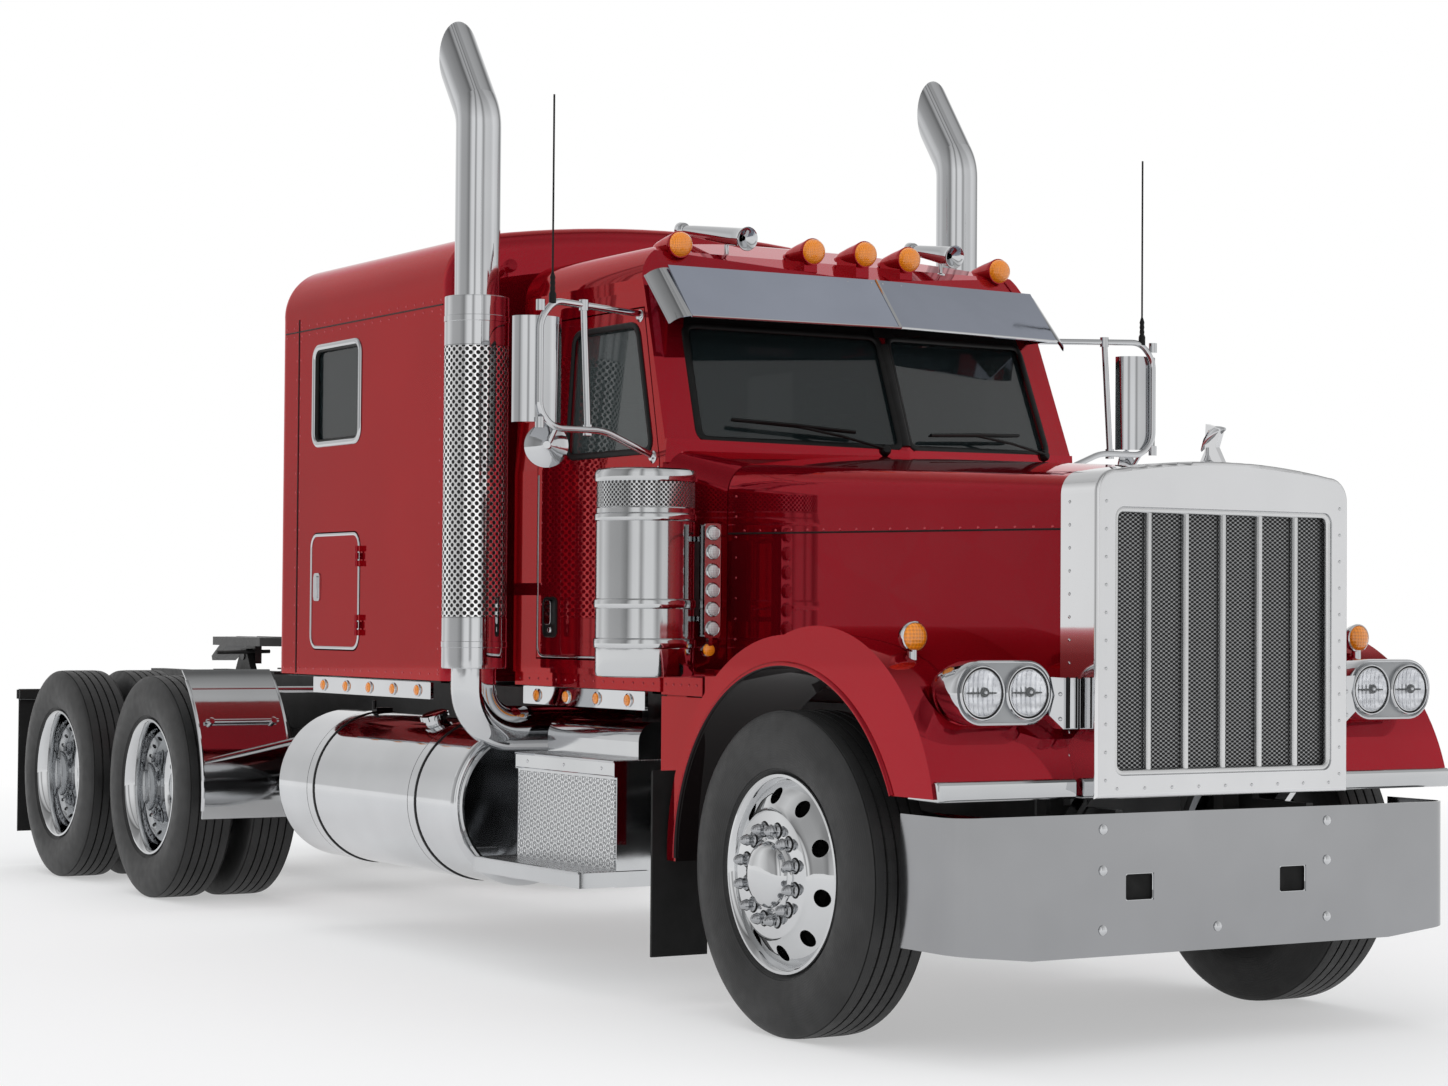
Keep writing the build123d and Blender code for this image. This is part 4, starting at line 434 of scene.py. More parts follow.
class Look(Nodes):
    """New material, whose shader's inputs are set by name."""

    def __init__(self, name, **values):
        self.material = bpy.data.materials.new(name)
        self.material.use_nodes = True
        self.material.diffuse_color = (0.5, 0.5, 0.5, 1)
        super().__init__(self.material.node_tree)
        self.set(**values)

    def set(self, **values):
        for key, value in values.items():
            self.put(value, self.tree.nodes["Principled BSDF"].inputs[key.replace("_", " ")])

    def bump(self, height, distance, strength=1.0):
        inputs = {"Height": height, "Distance": distance, "Strength": strength}
        self.set(Normal=self.add("ShaderNodeBump", inputs))
        return self.material


def shaded(colour, share):
    return tuple(c * share for c in colour)


def red_paint(name, wheel_house=False):
    n = Look(name, Coat_Weight=0.34, Coat_Roughness=0.01, Specular_IOR_Level=0.12,
             Specular_Tint=(1.0, 0.25, 0.3), Metallic=0.74, Roughness=0.04)
    shade = n.noise(900, 1) * 0.25 + n.noise(1.3, 2) * 0.75
    paint = n.drift(shade, (0.31, 0.003, 0.012), (0.38, 0.004, 0.016), 0.25, 0.75)
    n.set(Base_Color=paint)
    if wheel_house:
        # black inside the arch's radius about the wheel: painted shade under the fender
        _, y, z = n.split()
        y, z = y - ARCH_Y, z - AXLE_Z
        inside = n.math("LESS_THAN", n.math("SQRT", y * y + z * z), ARCH_R)
        n.set(Base_Color=n.mix(inside, paint, (0.006, 0.006, 0.006)),
              Metallic=(1.0 - inside) * 0.74, Roughness=inside * 0.6 + 0.04)
    return n.bump(n.noise(3, 2), 0.004, 0.05)


def chrome(name, colour, rough=(0.02, 0.05), streak=None):
    n = Look(name, Metallic=1.0)
    n.set(Roughness=n.drift(n.noise(5, 4, streak), *rough, end=0.75),
          Base_Color=n.drift(n.noise(2.2, 3), shaded(colour, 0.9), colour))
    return n.bump(n.noise(9, 2, streak), 0.002, 0.1)


def tyre_rubber():
    """Satin rubber with fine rings on the wall, from the lathe's UVs."""
    n = Look("tyre_rubber", Specular_IOR_Level=0.4)
    n.set(Base_Color=n.drift(n.noise(7, 4), 0.016, 0.032, end=0.8),
          Roughness=n.drift(n.noise(22, 3), 0.44, 0.54))
    rings = n.sine(n.split("UV")[1] * 700)
    return n.bump(rings * 0.45 + n.noise(160, 2), 0.0008, 0.35)


def plain(name, low, high, rough=0.5, metal=0.0, scale=6, grain=0.0004, gloss=0.5):
    """Two-tone surface with fine grain."""
    n = Look(name, Metallic=metal, Specular_IOR_Level=gloss)
    n.set(Base_Color=n.drift(n.noise(scale, 4), low, high),
          Roughness=n.drift(n.noise(scale * 3, 3), rough * 0.85, min(1.0, rough * 1.15), 0.2, 0.8))
    return n.bump(n.noise(scale * 40, 2), grain, 0.6)


def tinted_glass(name, colour, alpha):
    n = Look(name, Alpha=alpha, Specular_IOR_Level=0.7)
    smear = n.noise(3, 3)
    n.set(Roughness=n.drift(smear, 0.0, 0.03, end=0.8),
          Base_Color=n.mix(smear, colour, shaded(colour, 1.3)))
    return n.material


def lens(name, colour, glow=0.0, pitch=500):
    """Moulded lamp lens, with shade painted dark into the furrows of its fluting."""
    n = Look(name, Roughness=0.12, Coat_Weight=1.0, Coat_Roughness=0.02, Emission_Color=colour,
             Emission_Strength=glow)
    x, _, z = n.split()
    flutes = n.sine((z + x) * pitch) * n.sine((z - x) * pitch)
    # base colour darker in the furrows: painted shade
    n.set(Base_Color=n.drift(flutes * 0.5 + 0.5, shaded(colour, 0.62), colour, 0.1, 0.8))
    return n.bump(flutes, 0.0012, 0.6)


def reflector():
    """Faceted bright bowl behind a clear lens."""
    n = Look("lamp_reflector", Metallic=0.7, Roughness=0.07)
    x, _, z = n.split()
    n.set(Base_Color=n.drift(n.noise(24, 2), (0.62, 0.63, 0.66), (0.86, 0.87, 0.9), 0.35, 0.65))
    return n.bump(n.sine(x * 330) + n.sine(z * 190) + n.noise(60, 2), 0.003, 0.6)


def punched(name, metal, hole, pitch, radius, rough=0.18):
    """Bright sheet with a staggered pattern of punched holes, filled near-black as painted shade
    seen through them.
    """
    n = Look(name)
    across, up, _ = n.split("UV")
    spots = n.spots(across, up, pitch, radius)
    # holes painted dark: painted shade behind the sheet
    n.set(Base_Color=n.mix(spots, metal, hole), Metallic=1.0 - spots, Roughness=spots * 0.6 + rough)
    return n.bump(1.0 - spots, 0.003, 0.9)


def tread_plate(name, pair):
    """Raised lozenges in two directions on polished sheet, over two object axes."""
    n = Look(name, Metallic=1.0, Roughness=0.24)
    a, b = (n.split()[k] for k in pair)
    plus, minus = a + b, a - b
    raised = n.math("MAXIMUM", n.spots(plus, minus, (0.056, 0.028), (0.017, 0.005), 0.5),
                    n.spots(plus + 0.014, minus + 0.014, (0.028, 0.056), (0.005, 0.017), 0.5))
    n.set(Base_Color=n.mix(raised, (0.42, 0.43, 0.44), (0.8, 0.81, 0.82)))
    return n.bump(raised, 0.003)


def cloth(name, low, high, rows=1680):
    """Woven cloth with a soft nap."""
    n = Look(name, Roughness=0.9, Sheen_Weight=0.3)
    x, y, z = n.split()
    n.set(Base_Color=n.drift(n.noise(9, 4), low, high))
    return n.bump(n.sine(x * rows) * n.sine((z + y) * rows) + n.noise(60, 3), 0.002, 0.5)


def satin_front(name, colour, satin, bright):
    """Plated sheet that is satin on its front face and bright round the sides."""
    n = Look(name, Metallic=1.0)
    front = n.math("GREATER_THAN", n.split("Normal")[1] * -1.0, 0.92)
    haze = n.drift(n.noise(6, 4), satin * 0.9, satin * 1.1)
    n.set(Roughness=n.mix(front, (bright, bright, bright), haze),
          Base_Color=n.drift(n.noise(2.2, 3), shaded(colour, 0.94), colour))
    return n.bump(n.noise(7, 2), 0.002, 0.08)


RED = red_paint("red_paint")
FENDER_RED = red_paint("fender_paint", wheel_house=True)
CHROME = chrome("chrome_plate", (0.62, 0.63, 0.645), (0.02, 0.06))
STAINLESS = chrome("stainless_sheet", (0.58, 0.59, 0.6), (0.05, 0.11))
# visor steel tinted blue: painted reflection of the sky
VISOR_STEEL_PAINTED_REFLECTION = chrome("visor_sheet_painted_reflection", (0.5, 0.54, 0.64), (0.04, 0.08))
# bumper in a darker copy of the chrome: painted shade of the ground it reflects
BUMPER_CHROME_PAINTED_SHADE = chrome("bumper_plate_painted_shade", (0.345, 0.35, 0.36), (0.08, 0.14), (0.25, 0.4, 0.5))
SHELL_CHROME = satin_front("grille_shell_plate", (0.75, 0.755, 0.765), 0.4, 0.045)
ALLOY = chrome("polished_wheel_alloy", (0.66, 0.67, 0.68))
TANK_ALLOY = chrome("polished_tank_alloy", (0.66, 0.67, 0.685), (0.04, 0.11), (1, 0.2, 1))
# nut covers in a darker copy of the chrome: painted shade
NUT_CHROME_PAINTED_SHADE = chrome("nut_cover_plate_painted_shade", (0.42, 0.43, 0.445))
BAR_CHROME = chrome("grille_bar_plate", (0.66, 0.665, 0.67), (0.14, 0.22))
RUBBER = tyre_rubber()
FLAP = plain("flap_sheet", 0.008, 0.016, rough=0.65, gloss=0.3)
GASKET = plain("black_gasket", 0.003, 0.006, rough=0.45, scale=20, gloss=0.22)
CHASSIS = plain("chassis_black", 0.008, 0.018, rough=0.42, scale=5, gloss=0.35)
CAST = plain("dark_casting", 0.016, 0.04, rough=0.55, scale=14, grain=0.0012)
GREASED = plain("greased_plate", 0.01, 0.03, rough=0.3, scale=8, grain=0.001)
ENGINE_GREY = plain("engine_enamel", 0.1, 0.16, rough=0.4, scale=6)
# near-black for soot, grease grooves and joints, and painted shade in tyre sipes, recesses, under
# the nuts and behind the wheel disc
SOOT_AND_PAINTED_SHADE = plain("soot_and_painted_shade", 0.002, 0.006, rough=0.9)
DASH = plain("dash_moulding", 0.02, 0.032, rough=0.6, scale=25, grain=0.001)
GRIP = plain("wheel_grip_hide", 0.012, 0.022, rough=0.5, scale=40, grain=0.0006)
GLASS = tinted_glass("cab_tinted_glass", (0.01, 0.016, 0.017), 0.74)
SIDE_GLASS = tinted_glass("side_tinted_glass", (0.04, 0.05, 0.05), 0.8)
LAMP_GLASS = tinted_glass("lamp_clear_glass", (0.75, 0.78, 0.8), 0.12)
AMBER = lens("amber_lens", (0.9, 0.27, 0.01), glow=0.16)
TURN_AMBER = lens("turn_amber_lens", (0.9, 0.28, 0.01), glow=0.12, pitch=260)
LAMP_FACE = plain("lamp_face_enamel", (0.3, 0.31, 0.32), (0.38, 0.39, 0.4), rough=0.35, metal=0.8)
REFLECTOR = reflector()
RIVET_RED = plain("rivet_red", (0.42, 0.045, 0.06), (0.55, 0.075, 0.09), rough=0.22, metal=0.7)
CLEAR_LAMP = lens("frosted_lens", (0.75, 0.76, 0.76), glow=0.0)
PERFORATED = punched("perforated_guard", (0.96, 0.965, 0.97), (0.006, 0.006, 0.006), (0.03, 0.03),
                     (0.008, 0.008), rough=0.1)
FINE_PERFORATED = punched("perforated_band", (0.66, 0.67, 0.68), (0.03, 0.03, 0.03), (0.018, 0.018),
                          (0.005, 0.005))
MESH = punched("grille_punched_sheet", (0.34, 0.345, 0.35), (0.01, 0.01, 0.01), (0.022, 0.014),
               (0.007, 0.0042), rough=0.35)
SEAT_CLOTH = cloth("seat_cloth", (0.02, 0.02, 0.022), (0.045, 0.044, 0.045))
BED_CLOTH = cloth("mattress_ticking", (0.4, 0.38, 0.35), (0.5, 0.48, 0.45))


# ---- CAD nodes that keep their shape and get a finished surface ----
NODE_LOOKS = {"frame_rails": CHASSIS, "front_axle": CAST, "drive_axles": CAST,
              "drive_shaft": CHASSIS, "engine": ENGINE_GREY, "bumper": BUMPER_CHROME_PAINTED_SHADE,
              "grille_shell": SHELL_CHROME, "hood": RED, "fenders": FENDER_RED, "cab_body": RED,
              "dash": DASH, "cab_glass": GLASS, "sun_visor": VISOR_STEEL_PAINTED_REFLECTION, "sleeper_body": RED,
              "fuel_tanks": TANK_ALLOY, "step_boxes": STAINLESS, "exhaust_stacks": CHROME,
              "air_cleaners": STAINLESS, "quarter_fenders": STAINLESS, "mud_flaps": FLAP,
              "fifth_wheel": GREASED, "knuckle": CAST, "door_glass": SIDE_GLASS, "door": RED,
              "luggage_door": RED, "mirror": CHROME, "front_lamps": CHROME,
              "marker_lamps": STAINLESS, "air_horns": CHROME, "grille": MESH, "front_wheel": ALLOY,
              "forward_wheel": ALLOY, "rear_wheel": ALLOY, "front_tyre": RUBBER,
              "forward_tyres": RUBBER, "rear_tyres": RUBBER, "seat": SEAT_CLOTH,
              "steering_wheel": GRIP, "mattress": BED_CLOTH}
for node_name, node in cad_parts.items():
    look = NODE_LOOKS.get(node_name) or NODE_LOOKS[node_name.rsplit("_", 1)[0]]
    for socket in node.material_slots:
        socket.material = look
    if not node.material_slots:
        node.data.materials.append(look)


# ---- Wheels and tyres ----
TREAD_HALF = 0.104
GROOVES_X = (-0.063, -0.021, 0.021, 0.063)
GROOVE = (0.004, 0.012)    # half width, depth
SHOULDER = (0.1075, 0.0022, 0.004)      # place, half width and depth of the fine edge groove


def tyre_profile():
    """Wall and ribbed tread as (radius, along) points: one half and its mirror image."""
    half = mm(-6, 104, 12, 112, 16, 119, 19, 119.5, 21, 124, 50, 133, 75, 137, 105, 139, 130, 137.5,
              at=(RIM_R, 0))
    half += mm(-60, 132.5, -40, 127.5, -22, 121.5, -10, 115.5, at=(TYRE_R, 0))
    x, wide, deep = SHOULDER
    half += [(TYRE_R - 0.0045, x + wide), (TYRE_R - 0.004 - deep, x + wide * 0.6),
             (TYRE_R - 0.004 - deep, x - wide * 0.6), (TYRE_R - 0.0025, x - wide),
             (TYRE_R - 0.001, TREAD_HALF - 0.012)]
    wide, deep = GROOVE
    for x in GROOVES_X[:1:-1]:
        half += [(TYRE_R, x + wide), (TYRE_R - deep, x + wide - 0.001),
                 (TYRE_R - deep, x - wide + 0.001), (TYRE_R, x - wide)]
    return half + [(r, -a) for r, a in half[::-1]]


def tyre(form, x, y, side):
    place = aim((side * x, y, AXLE_Z), (side, 0, 0))
    form.lathe(tyre_profile(), place, steps=128)
    # small cross sipes at the edges of the ribs beside each groove, drawn as near-black boxes:
    # painted shade in the slits
    for k in range(96):
        for groove in GROOVES_X:
            for edge in (-1, 1):
                along = groove + edge * (GROOVE[0] + 0.003)
                slit = spun(place, TAU * (k + 0.3) / 96, (TYRE_R - 0.0022, 0, along))
                form.box((-0.002, -0.0007, -0.003), (0.00225, 0.0007, 0.003), 1, slit)


def rim_profile():
    """Bright rim from the outer flange lip through the well to the inner lip."""
    return mm(-31, -117, -1, -117, 0, -112, -2, -106, -14.5, -104, -14.5, 104, -2, 106, 3, 112, 1,
              117.5, -8, 118.5, -16, 112, -26, 88, -34, 60, -34, -80, at=(RIM_R, 0))


def hand_hole_disc(name, profile, place, ring, size, depth, turn, body, bevel):
    """Turned wheel disc with a ring of hand holes cut through it."""
    disc, tool = Form(), Form()
    disc.lathe(profile, place, steps=120, closed=True)
    for k in range(10):
        hole = spun(place, TAU * (k + turn) / 10, (ring, 0, depth[0]))
        tool.prism(oval(*size, 24), hole, depth[1] - depth[0])
    mesh = cut_by(name, disc.mesh("disc"), tool.mesh("disc"))
    finish_piece(name, mesh, body, ALLOY, "polished_alloy", bevel, 30)


def lug_covers(form, place, face, plated, dark):
    """Ring of plated nut covers: flange, barrel, collar and a pointed end."""
    for k in range(12):
        spot = spun(place, TAU * (k + 0.5) / 12, (0.155, 0, face))
        # each nut stands on a thin dark ring: painted shade where the nut meets the disc
        form.turned(spot, 16, (dark, 0, 1.5, 27.5, 1.5, 28.5, 0),
                    (plated, 0, 0, 23.5, 0, 23.5, 5, 20, 9, 18.5, 12, 18, 22.47, 20, 24.61, 20,
                     28.89, 17.5, 32.1, 16.5, 38.52, 11.5, 47.08, 5.5, 52.1625, 0, 53.5))


def front_wheel(name, side):
    place = aim((side * STEER_X, STEER_Y, AXLE_Z), (side, 0, 0))
    face = 0.155                # disc's outer face from the wheel's middle
    disc = mm(110, 0, 208.5, 0, 214, -1.5, 217, -6, 221.5, -10.5, 232, -18, 267, -35, 286, -49,
              299, -61, 310, -70, 310, -94, 300, -88, 285, -72, 262, -55, 230, -38, 200, -26,
              180, -22, 110, -22, at=(0, face))
    body = f"front_wheel_{name}"
    hand_hole_disc(f"front_disc_{name}", disc, place, 0.264, (0.0275, 0.03), (0.02, 0.2), -0.361,
                   body, 0.002)
    form, skin = Form(), Form()
    form.lathe(rim_profile(), place, steps=96, closed=True)
    # cast hub, and behind the disc a near-black cone: painted shade seen through the hand holes
    form.turned(place, 48, (1, 128, -52, 206, -52, 206, 30, 150, 60, 128, 110),
                (2, 150, 46, 296, 34, 300, -70))
    lug_covers(form, place, face, 3, 2)
    form.lathe(mm(0, 55.5, 36, 54.5, 67, 50, 90, 42, 104, 31, 110, 18, 112.5, 8, 121, 6, 128, 3,
                  131, 0, at=(0, face)), place, steps=64)
    for k in range(8):
        spot = spun(place, TAU * (k + 0.25) / 8, (0.1195, 0, face + 0.0055))
        form.dome(spot.translation, 0.005, (side, 0, 0), steps=8, rings=2)
    form.out(f"front_rim_{name}", body, [ALLOY, CAST, SOOT_AND_PAINTED_SHADE, NUT_CHROME_PAINTED_SHADE], "polished_alloy",
             replaces=[body])
    tyre(skin, STEER_X, STEER_Y, side)
    skin.out(f"front_tread_{name}", body, [RUBBER, SOOT_AND_PAINTED_SHADE], "tyre",
             replaces=[f"front_tyre_{name}"])


def dual_wheels(row, axle_y, name, side):
    inner, place = (aim((side * x, axle_y, AXLE_Z), (side, 0, 0)) for x in DUAL_X)
    # the outer wheel's dish is set deep, against the inner wheel
    face = -0.145
    disc = mm(120, -22, 120, 0, 215, 0, 235, 6, 258, 22, 300, 58, 306, 75, 306, 45, 292, 26,
              262, -4, 225, -22, at=(0, face))
    body = f"{row}_wheels_{name}"
    hand_hole_disc(f"{row}_disc_{name}", disc, place, 0.262, (0.022, 0.028),
                   (face - 0.05, face + 0.12), 0.5, body, 0.0016)
    form, skin = Form(), Form()
    form.lathe([(r, -a) for r, a in rim_profile()], inner, steps=96, closed=True)
    form.lathe(rim_profile(), place, steps=96, closed=True)
    lug_covers(form, place, face, 2, 1)
    form.lathe(mm(0, 132, 60, 131, 76, 124, 80, 110, 82, 100, 110, 98, 116, 90, 119, 20, 128, 0,
                  at=(0, face)), place, steps=56)
    form.turned(place, 56, (1, 120, -165, 300, -175, 300, -195, 210, -215, 210, -340, 100, -380))
    form.out(f"{row}_rims_{name}", body, [ALLOY, CAST, NUT_CHROME_PAINTED_SHADE], "polished_alloy",
             replaces=[f"{row}_wheel_{name}"])
    for x in DUAL_X:
        tyre(skin, x, axle_y, side)
    skin.out(f"{row}_treads_{name}", body, [RUBBER, SOOT_AND_PAINTED_SHADE], "tyre",
             replaces=[f"{row}_tyres_{name}"])


# ---- Front end ----
GRILLE_HALF = 0.472
GRILLE_Z = (0.913, 1.784)
GRILLE_BARS_X = (-0.319, -0.16, 0.0, 0.16, 0.319)


def grille():
    form, bars = Form(), Form()
    width = (-GRILLE_HALF, GRILLE_HALF)
    form.prism(round_rect(width, GRILLE_Z, 0.034, inset=0.002), upright(FRONT + 0.03), -0.012)
    form.out("grille_sheet", "hood", MESH, "grille_mesh", replaces=["grille"])
    for x in GRILLE_BARS_X:
        bars.prism(mm(-12, 0, -10.5, 12, -5, 18.5, 5, 18.5, 10.5, 12, 12, 0, at=(x, 0)),
                   axes((0, FRONT + 0.0275, GRILLE_Z[0] + 0.002), (1, 0, 0), (0, -1, 0)),
                   -(GRILLE_Z[1] - GRILLE_Z[0] - 0.004))
    bars.hoop(round_rect(width, GRILLE_Z, 0.03, inset=0.008), upright(FRONT + 0.014), 0.0115,
              up=REARWARD, sides=12)
    bars.out("grille_bars", "hood", BAR_CHROME, "chrome")


def shell_trim():
    """Rivets round the grille shell, and the plain fin on its crown."""
    form, fin = Form(), Form()
    front = FRONT - 0.0005
    for x0, z0, x1, z1, step in ((-0.508, 0.9, -0.508, 1.8, 0.09),
                                 (0.508, 0.9, 0.508, 1.8, 0.09),
                                 (-0.46, 0.872, 0.46, 0.872, 0.115)):
        form.rivets((x0, front, z0), (x1, front, z1), step, 0.0058, AHEAD)
    for _, side in SIDES:
        form.side_rivets(side, 0.5485, (FRONT + 0.14, 0.9), (FRONT + 0.14, 1.8), 0.075, 0.0058)
    form.out("shell_rivets", "hood", STAINLESS, "chrome")
    base_z = 1.943
    fin.turned(aim((0, FRONT + 0.085, base_z - 0.004), UP), 28,
               (0, 0, 0, 30, 0, 31, 6, 20, 12, 13, 30, 12, 55))
    # swept blade: sections of (y, z, half thickness, half height)
    blade = ((0.125, 0.045, 0.004, 0.006), (0.105, 0.07, 0.012, 0.018), (0.08, 0.088, 0.015, 0.026),
             (0.052, 0.1, 0.013, 0.022), (0.028, 0.106, 0.009, 0.013), (0.008, 0.109, 0.004, 0.005))
    fin.skin([lifted(oval(half, tall, 16), upright(FRONT + y, base_z + z))
              for y, z, half, tall in blade])
    fin.out("shell_fin", "hood", CHROME, "chrome")


def bumper_bolts():
    form, back = Form(), Form()
    bolts = [(side * 0.487, z) for _, side in SIDES for z in (0.74, 0.607, 0.415)] + [(0, 0.405)]
    for x, z in bolts:
        form.turned(aim((x, -4.333, z), AHEAD), 16, (0, 17, 0, 17, 3, 12, 8, 0, 10))
    for _, side in SIDES:
        x = side * 0.333
        form.hoop(round_rect((x - 0.059, x + 0.059), (0.5055, 0.5925), 0.01, 3), upright(-4.328),
                  0.003, up=REARWARD, sides=6)
        # dark plate behind each tow opening: painted shade in the recess
        back.box((x - 0.075, -4.318, 0.49), (x + 0.075, -4.31, 0.61))
    form.out("bumper_bolts", "chassis", CHROME, "chrome")
    back.out("tow_recess_painted_shade", "chassis", SOOT_AND_PAINTED_SHADE, "chassis_paint")


LAMP_X = (0.749, 0.931)
LAMP_Z = 1.181
LAMP_Y = STEER_Y - 0.838
TURN_LAMP = (0.98, STEER_Y - 0.525, 1.357)


def capsule(y, side, radius, steps=20):
    """Outline round the two lamps of one side at y."""
    made = []
    for centre, first in ((side * max(LAMP_X), -90), (side * min(LAMP_X), 90)):
        for s in range(steps + 1):
            turn = math.radians(first + 180 * s / steps)
            made.append(Vector((centre + side * radius * math.cos(turn), y,
                                LAMP_Z + radius * math.sin(turn))))
    return made


def head_lamps(name, side):
    form, glass = Form(), Form()
    # bucket drawn in towards the back, round bezel lip and the flat face between the lamps
    sections = mm(190, 40, 187, 60, 172, 78, 135, 94, 85, 103, 30, 105.5, 12, 105.5, 3, 103, 0, 99,
                  2, 95.5, 9, 94.5)
    form.skin([capsule(LAMP_Y + back, side, radius) for back, radius in sections], 3)
    for x in LAMP_X:
        spot = aim((side * x, LAMP_Y + 0.009, LAMP_Z), AHEAD)
        form.turned(spot, 48, (0, 89, 0, 89, 9.5, 86, 14, 82.5, 14.5, 80.5, 11),
                    (4, 80.5, 11.5, 77, 13, 75.5, 9.5), (0, 76.5, 12, 73.5, 13.5, 72.5, 10.5))
        # reflector bowl with its dark cross bar and the bulb's socket
        form.turned(spot, 48, (5, 73, 11.5, 68, 7.5, 58, 4.5, 40, 2.2, 20, 1.2, 0, 1))
        form.box((-0.06, -0.0024, 0.0), (0.06, 0.0024, 0.0052), mat=4, place=spot)
        form.turned(spun(spot, 0, (0.014, 0.002, 0)), 20, (4, 16.5, 0, 15.5, 6.5, 10, 8.5, 0, 9))
        form.dome(spot @ Vector((0.014, 0.002, 0.0085)), 0.0065, AHEAD, steps=12, rings=3)
        glass.turned(spot, 48, (0, 73.5, 12.5, 68, 17, 50, 22.5, 25, 25.5, 0, 26.5))
    # chrome bracket to the grille shell: arm, gusset and hinge leaves with dark joints
    arm = mm(664, 50, 552, 44, 552, -118, 612, -118, 668, -74, 648, -10, at=(0, LAMP_Z))
    place = axes((0, -4.236, 0), (side, 0, 0), UP)
    form.prism(arm[::side], place, 0.046 * side)
    for x in (0.56, 0.596):
        form.tube([(side * x, -4.2845, LAMP_Z - 0.116), (side * x, -4.2845, LAMP_Z + 0.05)], 0.0034,
                  mat=4, sides=8)
    form.turned(aim((side * 0.578, -4.283, LAMP_Z - 0.116), UP), 16,
                (0, 0, 0, 12.5, 1, 12.5, 163, 0, 164))
    for z in (LAMP_Z - 0.085, LAMP_Z - 0.005):
        form.dome((side * 0.625, -4.2815, z), 0.0075, AHEAD, steps=10, rings=3)
    # turn lamp: bullet housing on its post
    x, y, z = side * TURN_LAMP[0], *TURN_LAMP[1:]
    form.turned(aim((x, y, z - 0.112), UP), 24, (0, 0, 0, 30, 0, 29, 6, 18, 18, 17, 75))
    spot = aim((x, y, z), AHEAD)
    form.turned(spot, 36, (0, 0, -46, 16, -44, 34, -34, 45, -18, 50, 2, 51.5, 8, 50.5, 13, 46.5, 15,
                           44.5, 12), (2, 45, 11, 43, 18, 36, 25, 24, 30, 0, 33))
    form.out(f"lamp_bucket_{name}", "hood",
             [CHROME, CHROME, TURN_AMBER, LAMP_FACE, GASKET, REFLECTOR], "chrome", sharp=32,
             replaces=["front_lamps"] if side < 0 else [])
    glass.out(f"lamp_glass_{name}", "hood", LAMP_GLASS, "tinted_glass")


def hood_trim():
    """Rivets along the hood's upper joint and rear edge, and the fenders' bright edge strips."""
    form, guard = Form(), Form()
    (nose_x, nose_y), (cowl_x, cowl_y) = (0.53, -4.184), (0.826, STEER_Y + 0.862)
    strip = mm(-4284, 838, -4291, 848, -4291, 892, -4282, 903, -4120, 903, -4120, 838)
    for _, side in SIDES:
        def at(y, z, proud=0.0):
            share = (y - nose_y) / (cowl_y - nose_y)
            return (side * (nose_x + share * (cowl_x - nose_x) + proud), y, z)
        lean = (side, -0.18, 0)
        form.rivets(at(-4.13, 1.722), at(-2.66, 1.733), 0.082, 0.0055, lean)
        form.rivets(at(-2.615, 1.26), at(-2.615, 1.86), 0.075, 0.0055, lean)
        seam = [at(-4.183, 1.7125, 0.0004), at(-2.575, 1.7235, 0.0004)]
        form.tube(seam, 0.0034, mat=1, sides=6)
        low, high = both(0.56, 1.112, side)
        guard.prism(strip, axes((low, 0, 0), REARWARD, UP), high - low)
    form.out("hood_rivets", "hood", [RIVET_RED, SOOT_AND_PAINTED_SHADE], "body_paint")
    guard.out("fender_edge_strips", "hood", STAINLESS, "chrome", bevel=0.005)


# ---- Cab ----
SHIELD_FOOT = Vector((0.0, STEER_Y + 0.886, 2.056))
SHIELD_CORNER = Vector((0.864, STEER_Y + 1.076, 2.076))
SHIELD_HEAD = Vector((0.0, STEER_Y + 1.052, 2.48))
PANE = (0.024, 0.862, 0.016, 0.482)     # inner, outer, foot, head in the pane's plane


def shield_place(side):
    """Placing matrix of one windshield half: local X outwards times side, local Y up."""
    corner = Vector((side * SHIELD_CORNER.x, SHIELD_CORNER.y, SHIELD_CORNER.z))
    across = (corner - SHIELD_FOOT).normalized() * side
    return axes(SHIELD_FOOT, across, SHIELD_HEAD - SHIELD_FOOT)


def pane_corners(side, grow=0.0):
    place = shield_place(side)
    head = place.inverted() @ SHIELD_HEAD
    lean = head.x / head.y
    inner, outer, foot, top = PANE[0] - grow, PANE[1] + grow, PANE[2] - grow, PANE[3] + grow
    return [(lean * foot + side * inner, foot), (side * (outer - 0.02), foot - 0.005),
            (side * outer, top), (lean * top + side * inner, top)]


